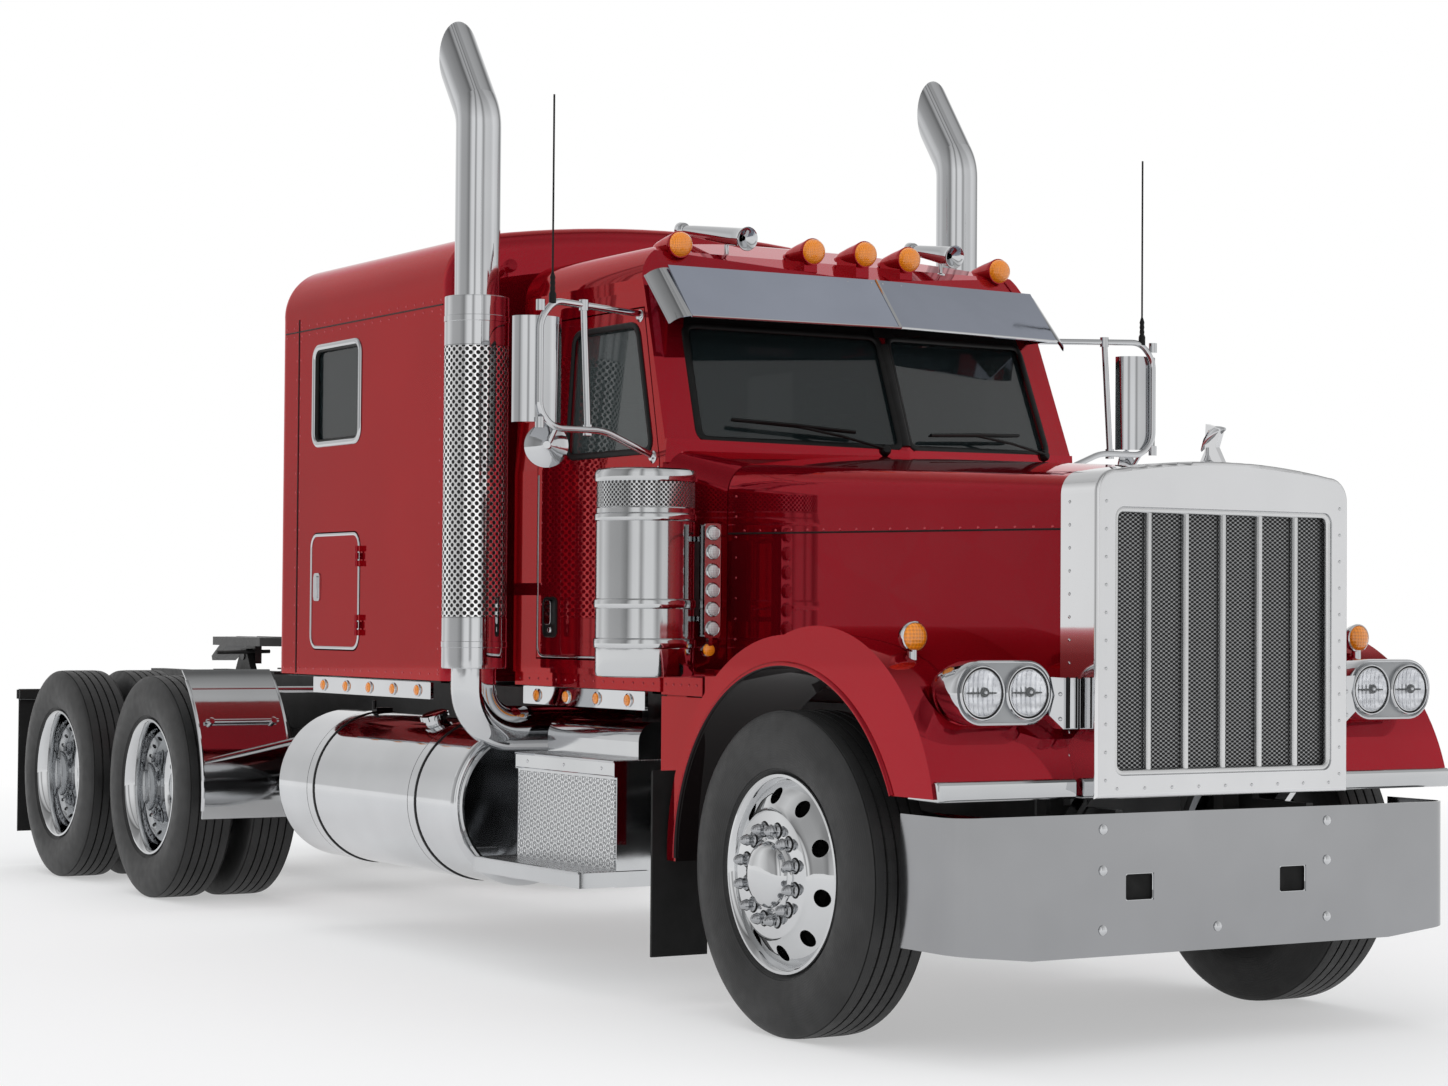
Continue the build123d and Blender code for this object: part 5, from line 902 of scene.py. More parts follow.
def windshield():
    form, wipers = Form(), Form()
    for _, side in SIDES:
        place = shield_place(side)
        normal = place.to_3x3() @ UP
        line = rounded(lifted(pane_corners(side, 0.003), place), 0.045, closed=True)
        # black band above each pane up to the visor: gasket, and painted shade under the visor
        head = [(side * x, PANE[3] + y) for x, y in (
            (PANE[0] - 0.02, 0), (PANE[1] + 0.006, 0), (PANE[1] - 0.004, 0.05),
            (PANE[0] - 0.02, 0.05))]
        form.prism(head[::side], place, 0.003)
        form.tube(line, 0.0145, closed=True, flat=0.45, up=normal, sides=12)
        # rivets on the band under the glass
        start, end = ((side * x, STEER_Y + 0.874 + x * 0.22, 2.03) for x in (0.045, 0.9))
        form.rivets(start, end, 0.078, 0.005, (side * 0.22, -1, 0), mat=1)
        # wiper: pivot, blade start and blade end in the pane's plane
        spots = ((0.8, -0.005), (0.13, 0.062), (0.66, 0.075)) if side > 0 else (
            (0.1, -0.005), (0.72, 0.085), (0.22, 0.06))
        pivot, start, end = lifted([(side * x, y) for x, y in spots], place, 0.026)
        centre = (start + end) / 2
        wipers.tube([pivot, pivot.lerp(centre, 0.5) + normal * 0.012, centre], 0.0055, sides=8)
        wipers.tube([start, centre + normal * 0.006, end], 0.0065, sides=8)
        wipers.tube([p - normal * 0.01 for p in (start, centre, end)], 0.004, sides=6)
        wipers.turned(aim(pivot - normal * 0.012, normal), 18, (0, 22, -20, 22, 6, 15, 16, 0, 18))
    middle = [SHIELD_FOOT + (SHIELD_HEAD - SHIELD_FOOT) * t for t in (0.05, 0.35, 0.7, 1.0)]
    form.tube(middle, 0.019, flat=0.5, up=Vector((0, -1, 0.2)), sides=10)
    form.out("windshield_gasket", "chassis", [GASKET, RIVET_RED], "wheel_grip")
    wipers.out("wipers", "chassis", GASKET, "wheel_grip")


def side_x(z):
    """Half width of the cab's side at height z."""
    return 0.965 if z < 2.0 else 0.965 - (z - 2.0) * 0.04 / 0.66


SILL_BAND = (1.124, 1.196)      # z range of the riveted band under the cab


def sill_bands():
    form, front = Form(), Form()
    foot, head = SILL_BAND
    for _, side in SIDES:
        form.slab(side, (0.905, 0.952), (STEER_Y + 0.831, STEER_Y + 1.125), SILL_BAND)
        form.slab(side, (0.93, 0.96), (STEER_Y + 1.12, STEER_Y + 2.28), (foot + 0.011, head))
        for x, start, end, step in ((0.953, 0.87, 1.09, 0.06), (0.961, 1.17, 2.23, 0.075)):
            form.side_rivets(side, x, (STEER_Y + start, 1.165), (STEER_Y + end, 1.165), step,
                             0.005, 1)
        front.slab(side, (0.9, 0.948), (STEER_Y + 0.69, STEER_Y + 0.822), (foot, head + 0.03))
    form.out("cab_sill_bands", "chassis", [RED, RIVET_RED], "body_paint", bevel=0.003)
    front.out("hood_sill_bands", "hood", RED, "body_paint", bevel=0.003)


HANDLE_Y = (STEER_Y + 1.915, STEER_Y + 2.03)
HANDLE_Z = (1.33, 1.492)


def door_trim(name, side):
    """Window gasket, bright edge of the door (edge guard and painted highlight), handle and lock.
    """
    form, edge = Form(), Form()
    sill, head = 2.04, 2.53
    outline = [(side * (side_x(z) + 0.001), y, z) for y, z in (
        (-2.245, sill), (-1.585, sill), (-1.585, head), (-2.08, head))]
    form.tube(rounded(outline, 0.055, closed=True), 0.0135, closed=True, flat=0.5, up=ACROSS,
              sides=10)
    # recessed pull handle: black dish
    form.prism(round_rect(HANDLE_Y, HANDLE_Z, 0.026), side_place(side, 0.962), 0.0065)
    form.hoop(round_rect(HANDLE_Y, HANDLE_Z, 0.022, inset=0.006), side_place(side, 0.9685), 0.0055,
              sides=8)
    form.out(f"door_gasket_{name}", f"door_{name}", GASKET, "wheel_grip", bevel=0.0015)
    skin, front, rear, foot = 0.9655, STEER_Y + 1.131, STEER_Y + 2.085, 1.256
    # bright tube along the door's front, bottom and rear edges: edge guard and painted highlight
    points = [(side * skin, y, z) for y, z in (
        (front + 0.006, 1.98), (front + 0.006, foot), (rear - 0.006, foot), (rear - 0.006, 1.98))]
    edge.tube(rounded(points, 0.05), 0.0055, flat=0.6, up=ACROSS, sides=8)
    for y in (front + 0.035, rear - 0.035):
        edge.side_rivets(side, skin, (y, 1.3), (y, 1.95), 0.085, 0.005, 1)
    # chrome lever and lock of the handle
    lever = round_rect((HANDLE_Y[0] + 0.03, HANDLE_Y[1] - 0.03),
                       (HANDLE_Z[0] + 0.052, HANDLE_Z[1] - 0.014), 0.016)
    edge.prism(lever, side_place(side, 0.968), 0.013)
    edge.turned(aim((side * 0.9685, sum(HANDLE_Y) / 2, HANDLE_Z[0] + 0.03), (side, 0, 0)), 16,
                (0, 0, 6, 10, 5, 13, 0))
    edge.out(f"door_edge_guard_and_highlight_{name}", f"door_{name}", [STAINLESS, RIVET_RED], "chrome", bevel=0.001)


VISOR = ((0.0, 0.937, 2.538), (0.864, 1.066, 2.543), (0.864, 1.256, 2.743), (0.0, 1.109, 2.739))
VISOR_END = (0.085, 64)     # bend radius and turn of the visor's ends


def visor_trim():
    form = Form()
    foot, corner, top_corner, top = (Vector((x, STEER_Y + y, z)) for x, y, z in VISOR)
    form.tube([foot + Vector((0, -0.002, 0)), top + Vector((0, -0.002, 0.001))], 0.0055, sides=6,
              mat=1)
    radius, bend = VISOR_END
    for _, side in SIDES:
        flip = Vector((side, 1, 1))
        a, b, c, d = foot, corner * flip, top_corner * flip, top
        form.tube([a, b], 0.005, sides=8)
        across = (b - a).normalized()
        normal = across.cross(d - a).normalized()
        if normal.y > 0:
            normal = -normal
        # end bent back round the cab's corner
        rows = []
        for turn in (math.radians(bend * k / 8) for k in range(9)):
            shift = (across * math.sin(turn) - normal * (1 - math.cos(turn))) * radius
            rows.append([form.bm.verts.new(p + shift) for p in (b, c)])
        for near, far in zip(rows, rows[1:]):
            form.face([near[0], near[1], far[1], far[0]])
        form.tube([v.co.copy() for v in rows[-1]], 0.0035, sides=6)
        inner, outer = d.lerp(a, 0.07), c.lerp(b, 0.07)
        form.rivets(inner.lerp(outer, 0.03) + normal * 0.001,
                    outer.lerp(inner, 0.03) + normal * 0.001, 0.1, 0.0038, normal)
    form.out("visor_edges", "chassis", [CHROME, STAINLESS], "chrome")


ROOF_LAMPS = ((-0.764, 1.33, 2.846), (-0.228, 1.215, 2.845), (0.0, 1.19, 2.848),
              (0.228, 1.215, 2.845), (0.764, 1.33, 2.846))
# columns: half width of the strip's face, y range, z range, lamps
STRIPS = ((0.955, (1.24, 2.215), (1.062, 1.133), 4), (1.138, (2.69, 3.88), (1.066, 1.136), 5))


def marker_lamps():
    form = Form()
    for x, y, z in ROOF_LAMPS:
        spot = aim((x, STEER_Y + y, z), AHEAD)
        # tapering body, bezel and ribbed amber dome
        form.turned(spot, 32, (2, 0, -205, 12, -196, 26, -150, 39, -80, 48, -20, 52.5, 2, 52, 6, 48,
                               7), (1, 49, 2, 48.5, 10, 44, 24, 34, 36, 20, 43, 0, 45))
        form.box((x - 0.03, STEER_Y + y + 0.012, z - 0.13), (x + 0.03, STEER_Y + y + 0.15, z),
                 mat=2)
    for half, across, up, count in STRIPS:
        for _, side in SIDES:
            place = side_place(side, half - 0.014)
            face = round_rect((STEER_Y + across[0], STEER_Y + across[1]), up, 0.004, 2)
            form.prism(face, place, 0.014)
            for k in range(count):
                y = STEER_Y + across[0] + (k + 0.5) * (across[1] - across[0]) / count
                spot = aim((side * half, y, sum(up) / 2), (side, 0, 0))
                form.turned(spot, 24, (0, 27, 0, 27, 4, 22, 6), (1, 23, 3, 20, 11, 11, 16, 0, 17))
    form.out("marker_lamp_set", "chassis", [CHROME, AMBER, RED], "lens",
             replaces=["marker_lamps"])


def horns():
    form = Form()
    for side, length in ((-1, 0.52), (1, 0.33)):
        bell = Vector((side * 0.496, STEER_Y + 1.264, 2.88))
        tail = Vector((side * 0.496, STEER_Y + 1.264 + length, 2.896 + length * 0.15))
        end = (tail - bell).length
        form.lathe([(0.01, 0.034), (0.032, 0.012), (0.041, 0.002), (0.045, 0.0), (0.047, 0.003),
                    (0.045, 0.008), (0.041, 0.026), (0.038, 0.07), (0.031, end * 0.45),
                    (0.024, end * 0.75), (0.019, end - 0.055), (0.026, end - 0.048),
                    (0.029, end - 0.04), (0.029, end - 0.012), (0.024, end - 0.004), (0.0, end)],
                   aim(bell, tail - bell), steps=36)
        for share in (0.3, 0.88):
            form.turned(aim(bell.lerp(tail, share), UP), 16,
                        (0, 9, 0, 9, -75, 22, -82, 22, -110))
    form.out("horn_pair", "chassis", CHROME, "chrome", replaces=["air_horns"])


def mirror(name, side):
    """Round-tube bracket, main mirror head, round convex mirror and aerial of one door."""
    form, tube_r = Form(), 0.0125
    top_z, low_z = 2.576, 2.105
    outer_x, outer_y = side * 1.453, STEER_Y + 1.168
    points = [(side * x, STEER_Y + y, z) for x, y, z in (
        (0.939, 1.33, top_z - 0.008), (1.393, 1.176, top_z), (1.453, 1.168, top_z - 0.07),
        (1.453, 1.168, low_z + 0.06), (1.393, 1.168, low_z), (1.18, 1.173, low_z),
        (0.966, 1.175, 2.018))]
    form.tube(rounded(points, 0.04), tube_r, sides=14)
    post = [(side * 1.24, outer_y + 0.02, low_z), (side * 1.24, STEER_Y + 1.226, top_z - 0.003)]
    form.tube(post, tube_r, sides=12)
    for clamp in post:
        form.turned(aim(clamp, UP), 16, (0, 0, -22, 18, -20, 18, 20, 0, 22))
    for z in (low_z + 0.02, top_z - 0.02):
        form.turned(aim((outer_x, outer_y, z), UP), 16, (0, 0, -20, 17, -20, 17, 20, 0, 20))
    # main head, its plan outline flat at the glass and wrapped round the back in a shallow curve
    low_x, high_x = both(1.33, 1.52, side)
    middle, half = (low_x + high_x) / 2, (high_x - low_x) / 2
    back_y = STEER_Y + 1.262
    plan = [(middle - half, back_y), (middle + half, back_y), (middle + half, back_y - 0.03)]
    plan += [(middle - half * share, back_y - 0.03 - 0.05 * (1 - abs(share) ** 2.6))
             for share in (k / 8 - 1 for k in range(1, 16))]
    plan.append((middle - half, back_y - 0.03))
    for z, tall in ((2.14, 0.368), (2.128, 0.012), (2.508, 0.012)):
        form.prism(plan, Matrix.Translation((0, 0, z)), tall)
    form.box((low_x + 0.004, back_y - 0.002, 2.134), (high_x - 0.004, back_y + 0.0015, 2.514), 1)
    # round convex mirror below, dished towards the front
    spot = aim((side * 1.385, STEER_Y + 1.24, 2.046), (side * 0.42, -0.9, 0))
    form.turned(spot, 48, (0, 0, 34, 14, 34, 16, 30, 22, 26, 48, 14, 70, 2, 78, -4, 82, -7, 82, -13,
                           78, -15, 0, -22))
    form.tube([(side * 1.385, outer_y, low_z), (side * 1.385, STEER_Y + 1.225, 2.046)], 0.009)
    # aerial with its spring foot
    x, y = side * 1.4, STEER_Y + 1.175
    form.turned(aim((x, y, top_z - 0.01), UP), 16, (2, 14, 0, 14, 35, 9, 45, 10.5, 55, 8.5, 65,
                                                    10.5, 75, 8.5, 85, 10.5, 95, 4.5, 115))
    form.tube([(x, y, top_z + 0.1), (x, y, 3.338)], 0.0038, mat=2, sides=8)
    # feet on the door
    for y, z in ((1.175, 2.015), (1.337, 2.561)):
        spot = aim((side * (side_x(z) - 0.004), STEER_Y + y, z), (side, 0, 0))
        form.turned(spot, 20, (0, 0, 20, 14, 18, 18, 10, 24, 7, 25, 0))
    form.out(f"mirror_set_{name}", f"door_{name}", [CHROME, SIDE_GLASS, GASKET], "chrome", sharp=45,
             replaces=[f"mirror_{name}"])


# ---- Along the side ----
CLEANER = Vector((1.15, STEER_Y + 0.91, 1.197))
CLEANER_R = 0.188
CLEANER_BANDS = ((0.103, 0.141), (0.247, 0.283), (0.563, 0.593))


def air_cleaner(form, fine, lamps, side):
    """Canister with bands, cap and screened inlet, its duct, and the lamp bar ahead of it."""
    place = aim((side * CLEANER.x, CLEANER.y, CLEANER.z), UP)
    r = CLEANER_R
    skin = r - 0.006
    profile = [(0.0, 0.0), (r - 0.022, 0.0), (r - 0.01, 0.004), (skin, 0.016)]
    for low, high in CLEANER_BANDS:
        profile += [(skin, low), (r - 0.0015, low + 0.003), (r, low + 0.006), (r, high - 0.006),
                    (r - 0.0015, high - 0.003), (skin, high)]
        # band clamps
        for turn in (-75, -105) if side < 0 else (-105, -75):
            spot = spun(place, math.radians(turn), (r, 0, (low + high) / 2))
            form.box((-0.002, -0.01, -0.01), (0.0005, 0.01, 0.01), place=spot)
    form.lathe(profile + [(skin, 0.61), (r - 0.009, 0.614)], place, steps=72)
    fine.lathe([(r - 0.009, 0.612), (r - 0.009, 0.709)], place, steps=72)
    form.lathe(mm(-9, 705, -2, 707, 0, 711, 0, 738, -4, 748, -14, 754, -30, 756, at=(r, 0))
               + [(0.0, 0.756)], place, steps=72)
    # duct into the cowl
    form.slab(side, (0.88, 1.03), (CLEANER.y - 0.025, CLEANER.y + 0.09), (1.4, 1.7), 1)
    # lamp bar, thin, on two brackets
    x, front = side * 0.985, CLEANER.y - CLEANER_R - 0.012
    form.prism(round_rect((x - 0.034, x + 0.034), (1.341, 1.754), 0.01, 3), upright(front), -0.012)
    for edge in (-1, 1):
        low, high = sorted((x + edge * 0.034, x + edge * 0.03))
        form.box((low, front + 0.002, 1.345), (high, front + 0.038, 1.75))
    for z in (1.4, 1.69):
        form.box((x - 0.018, front + 0.01, z), (x + 0.018, CLEANER.y - 0.07, z + 0.018))
    for k in range(6):
        spot = aim((x, front, 1.375 + k * 0.069), AHEAD)
        form.turned(spot, 28, (0, 28, 0, 28, 4, 25, 8, 23, 7))
        lamps.turned(spot, 24, (0, 23.5, 4, 21, 10, 12, 13.5, 0, 14))
    foot = aim((x, front + 0.03, 1.297), AHEAD)
    form.turned(foot, 24, (0, 0, -25, 22, -25, 26, 0, 24, 6))
    lamps.turned(foot, 24, (1, 23.5, 4, 21, 14, 12, 20, 0, 22))
    form.box((x - 0.008, front + 0.012, 1.3), (x + 0.008, front + 0.032, 1.345))


def air_cleaners():
    form, fine, lamps = Form(), Form(), Form()
    for _, side in SIDES:
        air_cleaner(form, fine, lamps, side)
    form.out("air_cleaner_cans", "chassis", [STAINLESS, CAST], "chrome", sharp=30,
             replaces=["air_cleaners"])
    fine.out("air_cleaner_screens", "chassis", FINE_PERFORATED, "chrome")
    lamps.out("cleaner_lamps", "chassis", [CLEAR_LAMP, AMBER], "lens")


STACK = (1.19, STEER_Y + 2.198)
GUARD_R = 0.129
GUARD_Z = (1.205, 2.69)
PIPE_R = 0.091
MOUTH = (STACK[1] + 0.178, 3.6775, 35.5)    # y and middle z of the upright mouth, tip's lean


def stacks():
    guard, trim = Form(), Form()
    lean = math.radians(MOUTH[2])
    along = Vector((0, math.sin(lean), math.cos(lean)))
    # rolled lip of the mouth
    lip = oval(PIPE_R - 0.003, PIPE_R / math.sin(lean) - 0.005, 48)
    for _, side in SIDES:
        x = side * STACK[0]
        place = aim((x, STACK[1], 0), UP)
        guard.lathe([(GUARD_R + 0.001, 1.41), (GUARD_R + 0.001, 2.49)], place, steps=72)
        for low, high in ((GUARD_Z[0] - 0.001, 1.41), (2.49, GUARD_Z[1] + 0.001)):
            trim.lathe([(PIPE_R + 0.002, low), (GUARD_R - 0.004, low),
                        (GUARD_R + 0.0015, low + 0.004), (GUARD_R + 0.0015, high - 0.004),
                        (GUARD_R - 0.004, high), (PIPE_R + 0.002, high)], place, steps=72)
        for z in (1.3, 2.6):
            trim.lathe(mm(1, -13, 3.5, -11, 3.5, 11, 1, 13, at=(GUARD_R, z)), place, steps=72)
        trim.hoop(lip, upright(MOUTH[0] - 0.0005, MOUTH[1], x), 0.003, up=REARWARD, sides=6)
        # dark throat: soot and painted shade down the pipe
        trim.lathe([(PIPE_R - 0.0065, 0.02), (PIPE_R - 0.0065, 0.0), (0.0, 0.0)],
                   aim(Vector((x, MOUTH[0], MOUTH[1])) - along * 0.24, along), steps=36, mat=1)
    guard.out("stack_guards", "chassis", PERFORATED, "chrome")
    trim.out("stack_trim", "chassis", [CHROME, SOOT_AND_PAINTED_SHADE], "chrome", sharp=30)


TANK = (0.87, 0.645, 0.335)            # x, z, radius
TANK_Y = (STEER_Y + 2.34, STEER_Y + 4.12)
STRAP_Y = (STEER_Y + 2.72, STEER_Y + 3.745)


def tanks():
    form, (out_x, z, r) = Form(), TANK
    for _, side in SIDES:
        x = side * out_x
        for y in STRAP_Y:
            for edge in (-0.0315, 0.0315):
                form.lathe(mm(-1, -4.5, 4.5, -3, 4.5, 3, -1, 4.5, at=(r, edge)),
                           aim((x, y, z), REARWARD), steps=96, mat=2)
            # tee bolt that draws the strap tight
            form.tube([(x + side * 0.03, y, z + r + 0.01), (x + side * 0.03, y, z + r + 0.05)],
                      0.01, mat=2)
            form.box((x - 0.03, y - 0.025, z + r - 0.002), (x + 0.05, y + 0.025, z + r + 0.018), 2)
        cap = aim((x + side * 0.105, TANK_Y[0] + 0.62, z + r - 0.022), (side * 0.32, 0, 1))
        form.turned(cap, 32, (0, 46, 0, 46, 16, 56, 18, 57, 40, 50, 46, 0, 48))
        for k in range(6):
            form.box((0.052, -0.007, 0.02), (0.062, 0.007, 0.04), place=spun(cap, TAU * k / 6))
        for y, out in ((TANK_Y[0], -1), (TANK_Y[1], 1)):
            form.lathe(mm(-30, 0.5, -40, 4, -50, 0.5, at=(r, 0)), aim((x, y, z), (0, out, 0)),
                       steps=72, mat=1)
    form.out("tank_fittings", "chassis", [CHROME, STAINLESS, CHASSIS], "polished_alloy")


STEP_Y = (STEER_Y + 1.3, STEER_Y + 2.095)


def steps():
    """Tread plate on the step boxes: front panel, top, and the bottom step."""
    panel, ledge, trim = Form(), Form(), Form()
    front, rear = STEP_Y
    for _, side in SIDES:
        panel.prism(round_rect((front + 0.012, rear - 0.012), (0.462, 0.8), 0.006, 2),
                    side_place(side, 1.038), 0.004)
        ledge.slab(side, (0.905, 1.198), (front, rear + 0.055), (0.4545, 0.4585))
        ledge.slab(side, (0.61, 1.046), (front + 0.006, rear - 0.004), (0.8695, 0.8735))
        # rolled nose of the bottom step, rim of the box and bead under it
        for x, z, start, end, radius, sides in (
                (1.199, 0.4545, -0.002, 0.056, 0.0055, 8), (1.05, 0.868, 0, 0, 0.005, 8),
                (1.0515, 0.812, 0.01, -0.01, 0.003, 6)):
            trim.tube([(side * x, front + start, z), (side * x, rear + end, z)], radius,
                      sides=sides)
        for y in (front + 0.1, sum(STEP_Y) / 2, rear - 0.1):
            trim.dome((side * 1.05, y, 0.84), 0.007, (side, 0, 0), flat=0.6, steps=10, rings=2)
    panel.out("step_panels", "chassis", tread_plate("tread_panel", (1, 2)), "polished_alloy")
    ledge.out("step_treads", "chassis", tread_plate("tread_ledge", (0, 1)), "polished_alloy",
              bevel=0.001)
    trim.out("step_trim", "chassis", CHROME, "chrome")


# ---- Sleeper ----
SLEEPER_X = 1.15
SLEEPER_Y = (STEER_Y + 2.5, STEER_Y + 4.284)
WINDOW_Y = (STEER_Y + 3.392, STEER_Y + 3.875)
WINDOW_Z = (2.18, 2.61)
HATCH_Y = (STEER_Y + 3.375, STEER_Y + 3.893)
HATCH_Z = (1.262, 1.775)


def sleeper_trim():
    bright, red, dark = Form(), Form(), Form()
    seam_y, seam_z, skin = SLEEPER_Y[1] - 0.235, 2.7, SLEEPER_X + 0.0003
    front, rear = SLEEPER_Y[0] + 0.1, SLEEPER_Y[1] - 0.1
    for _, side in SIDES:
        place = side_place(side, SLEEPER_X)
        bright.hoop(round_rect(WINDOW_Y, WINDOW_Z, 0.054, inset=-0.004), place, 0.0135, 0.002,
                    flat=0.55, sides=10)
        dark.hoop(round_rect(WINDOW_Y, WINDOW_Z, 0.042, inset=0.01), place, 0.01, -0.01, sides=8)
        # joints of the side panels and the rivets beside them
        for start, end in (((seam_y, 1.15), (seam_y, 2.755)),
                           ((front - 0.015, seam_z), (rear + 0.015, seam_z))):
            dark.tube([(side * skin, *start), (side * skin, *end)], 0.0034, sides=6)
        for start, end in (((seam_y - 0.022, 1.2), (seam_y - 0.022, 2.74)),
                           ((seam_y + 0.022, 1.2), (seam_y + 0.022, 2.74)),
                           ((front, seam_z - 0.02), (rear, seam_z - 0.02)),
                           ((front, seam_z + 0.02), (rear, seam_z + 0.02)),
                           ((front, 1.19), (front, 2.66)), ((front, 1.172), (rear, 1.172))):
            red.side_rivets(side, SLEEPER_X, start, end, 0.085)
    bright.out("sleeper_window_frames", "chassis", CHROME, "chrome")
    red.out("sleeper_rivets", "chassis", RIVET_RED, "body_paint")
    dark.out("sleeper_seams", "chassis", GASKET, "wheel_grip")
    for name, side in SIDES:
        form, place = Form(), side_place(side, SLEEPER_X)
        form.hoop(round_rect(HATCH_Y, HATCH_Z, 0.056, inset=0.006), place, 0.0075, 0.001, flat=0.6,
                  sides=10)
        # paddle latch at the rear edge
        y1 = HATCH_Y[1] - 0.04
        form.prism(round_rect((y1 - 0.062, y1), (1.475, 1.6), 0.014, 4),
                   spun(place, 0, (0, 0, -0.001)), 0.007)
        form.prism(round_rect((y1 - 0.05, y1 - 0.012), (1.487, 1.588), 0.01, 4), place, 0.013)
        form.out(f"luggage_door_trim_{name}", f"luggage_door_{name}", CHROME, "chrome",
                 bevel=0.0015)


# ---- Rear ----
QUARTER_R = 0.75


def quarter_fender_edges():
    form = Form()
    y, z, r = DRIVE_Y[0], AXLE_Z, QUARTER_R - 0.004
    lean = math.radians(27)         # the bracket bar's place round the fender
    out = Vector((0, -math.cos(lean), math.sin(lean)))
    middle = Vector((0, y, z)) + out * (QUARTER_R + 0.016)
    for _, side in SIDES:
        for x in (0.802, 1.253):
            form.tube([(side * x, y - r * math.cos(turn), z + r * math.sin(turn))
                       for turn in map(math.radians, range(-6, 50, 4))], 0.0085, sides=8)
        form.tube([middle + ACROSS * side * x for x in (0.845, 1.215)], 0.01, sides=10)
        for x in (0.87, 1.19):
            form.turned(aim(middle + ACROSS * side * x, out), 14,
                        (0, 0, -18, 16, -18, 16, 8, 0, 12))
    form.out("quarter_fender_edges", "chassis", CHROME, "polished_alloy")


def rear_trim():
    form = Form()
    rear = 4.37
    for _, side in SIDES:
        form.slab(side, (0.655, 1.205), (rear - 0.036, rear - 0.018), (0.925, 0.985))
        form.slab(side, (0.668, 1.192), (rear - 0.0215, rear - 0.0185), (0.2, 0.245))
        for k in range(5):
            spot = (side * (0.71 + 0.11 * k), rear - 0.018, 0.955)
            form.dome(spot, 0.009, (0, 1, 0), flat=0.6, steps=10, rings=2)
    form.out("flap_hanger_plates", "chassis", STAINLESS, "chrome", bevel=0.0015)


def coupling_detail():
    """Jaw, grease grooves and release handle of the fifth wheel."""
    form = Form()
    y, top = 2.965, 1.29
    form.tube([(0.047 * math.cos(turn), y + 0.047 * math.sin(turn), top - 0.006)
               for turn in map(math.radians, range(-200, 21, 20))], 0.011, sides=8)
    for x in (0.2, 0.32):
        for _, side in SIDES:
            form.tube([(side * x, y - 0.33, top - 0.001), (side * x, y + 0.36, top - 0.001)],
                      0.004, mat=1, sides=6)
    form.tube([(-0.3, y - 0.05, top - 0.075), (-0.44, y - 0.05, top - 0.078),
               (-0.6, y - 0.05, top - 0.08)], 0.01, sides=8)
    form.out("coupling_jaw", "coupling", [CAST, SOOT_AND_PAINTED_SHADE], "cast")


# ---- Cabin ----
def soft_block(name, low, high, puff, material, body="chassis", replaces=(), tilt=None, cuts=7):
    """Crowned cushion: a finely divided box whose faces swell between pulled-in corners."""
    form = Form()
    centre = [(a + b) / 2 for a, b in zip(low, high)]
    half = [(b - a) / 2 for a, b in zip(low, high)]
    form.box(low, high)
    bmesh.ops.subdivide_edges(form.bm, edges=form.bm.edges[:], cuts=cuts, use_grid_fill=True)
    for vert in form.bm.verts:
        part = [(vert.co[k] - centre[k]) / half[k] for k in range(3)]
        for k in range(3):
            others = [abs(part[j]) for j in range(3) if j != k]
            crown = (1 - others[0] ** 4) * (1 - others[1] ** 4)
            edge = abs(part[k]) >= 0.999
            if edge:
                vert.co[k] = centre[k] + part[k] * (half[k] - puff * (1 - crown))
            else:
                pull = max(others) ** 6
                vert.co[k] = centre[k] + part[k] * (half[k] - puff * 0.8 * pull)
        if tilt:
            vert.co.y += (vert.co.z - low[2]) * tilt
    obj = form.out(name, body, material, "upholstery", sharp=70, replaces=replaces)
    mod = obj.modifiers.new("smooth", "SUBSURF")
    mod.levels = mod.render_levels = 1
    return obj


def seats():
    for name, side in SIDES:
        x = side * 0.5
        y0, y1 = STEER_Y + 1.676, STEER_Y + 2.12
        soft_block(f"seat_cushion_{name}", (x - 0.243, y0, 1.605), (x + 0.243, y1 - 0.06, 1.738),
                   0.02, SEAT_CLOTH, replaces=[f"seat_{name}"])
        soft_block(f"seat_back_{name}", (x - 0.233, y1 - 0.108, 1.742),
                   (x + 0.233, y1 - 0.012, 2.27), 0.022, SEAT_CLOTH, tilt=0.085)
        soft_block(f"head_rest_{name}", (x - 0.145, y1 - 0.052, 2.29),
                   (x + 0.145, y1 + 0.045, 2.436), 0.018, SEAT_CLOTH, tilt=0.05)
        base = Form()
        for half, front, rear, foot, head in ((0.15, 0.06, 0.06, 1.236, 1.32),
                                              (0.12, 0.09, 0.09, 1.32, 1.56),
                                              (0.2, 0.03, 0.07, 1.56, 1.603)):
            base.box((x - half, y0 + front, foot), (x + half, y1 - rear, head))
        base.out(f"seat_base_{name}", "chassis", CHASSIS, "chassis_paint", bevel=0.006)


def mattress():
    low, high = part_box("mattress")
    soft_block("mattress_pad", tuple(low), tuple(high), 0.018, BED_CLOTH, replaces=["mattress"],
               cuts=11)


def steering_wheel():
    tilt = math.radians(38)
    place = aim((0.5, STEER_Y + 1.53, 1.99), (0, math.sin(tilt), math.cos(tilt)))
    form = Form()
    form.hoop(oval(0.225, 0.225, 48), place, 0.0145, sides=12, up=place.to_3x3() @ UP)
    form.turned(place, 32, (0, 0, 10, 40, 8, 56, 0, 58, -12, 0, -14))
    for turn in (0, 180, 270):
        spoke = spun(place, math.radians(turn), (0, 0, -0.008))
        form.prism(mm(50, -22, 218, -14, 218, 14, 50, 22), spoke, 0.008, mat=1)
    form.lathe([(0.03, -0.012), (0.031, -0.78)], place, steps=24)
    form.out("steering_wheel_rim", "chassis", [GRIP, STAINLESS], "wheel_grip", bevel=0.002,
             replaces=["steering_wheel"])


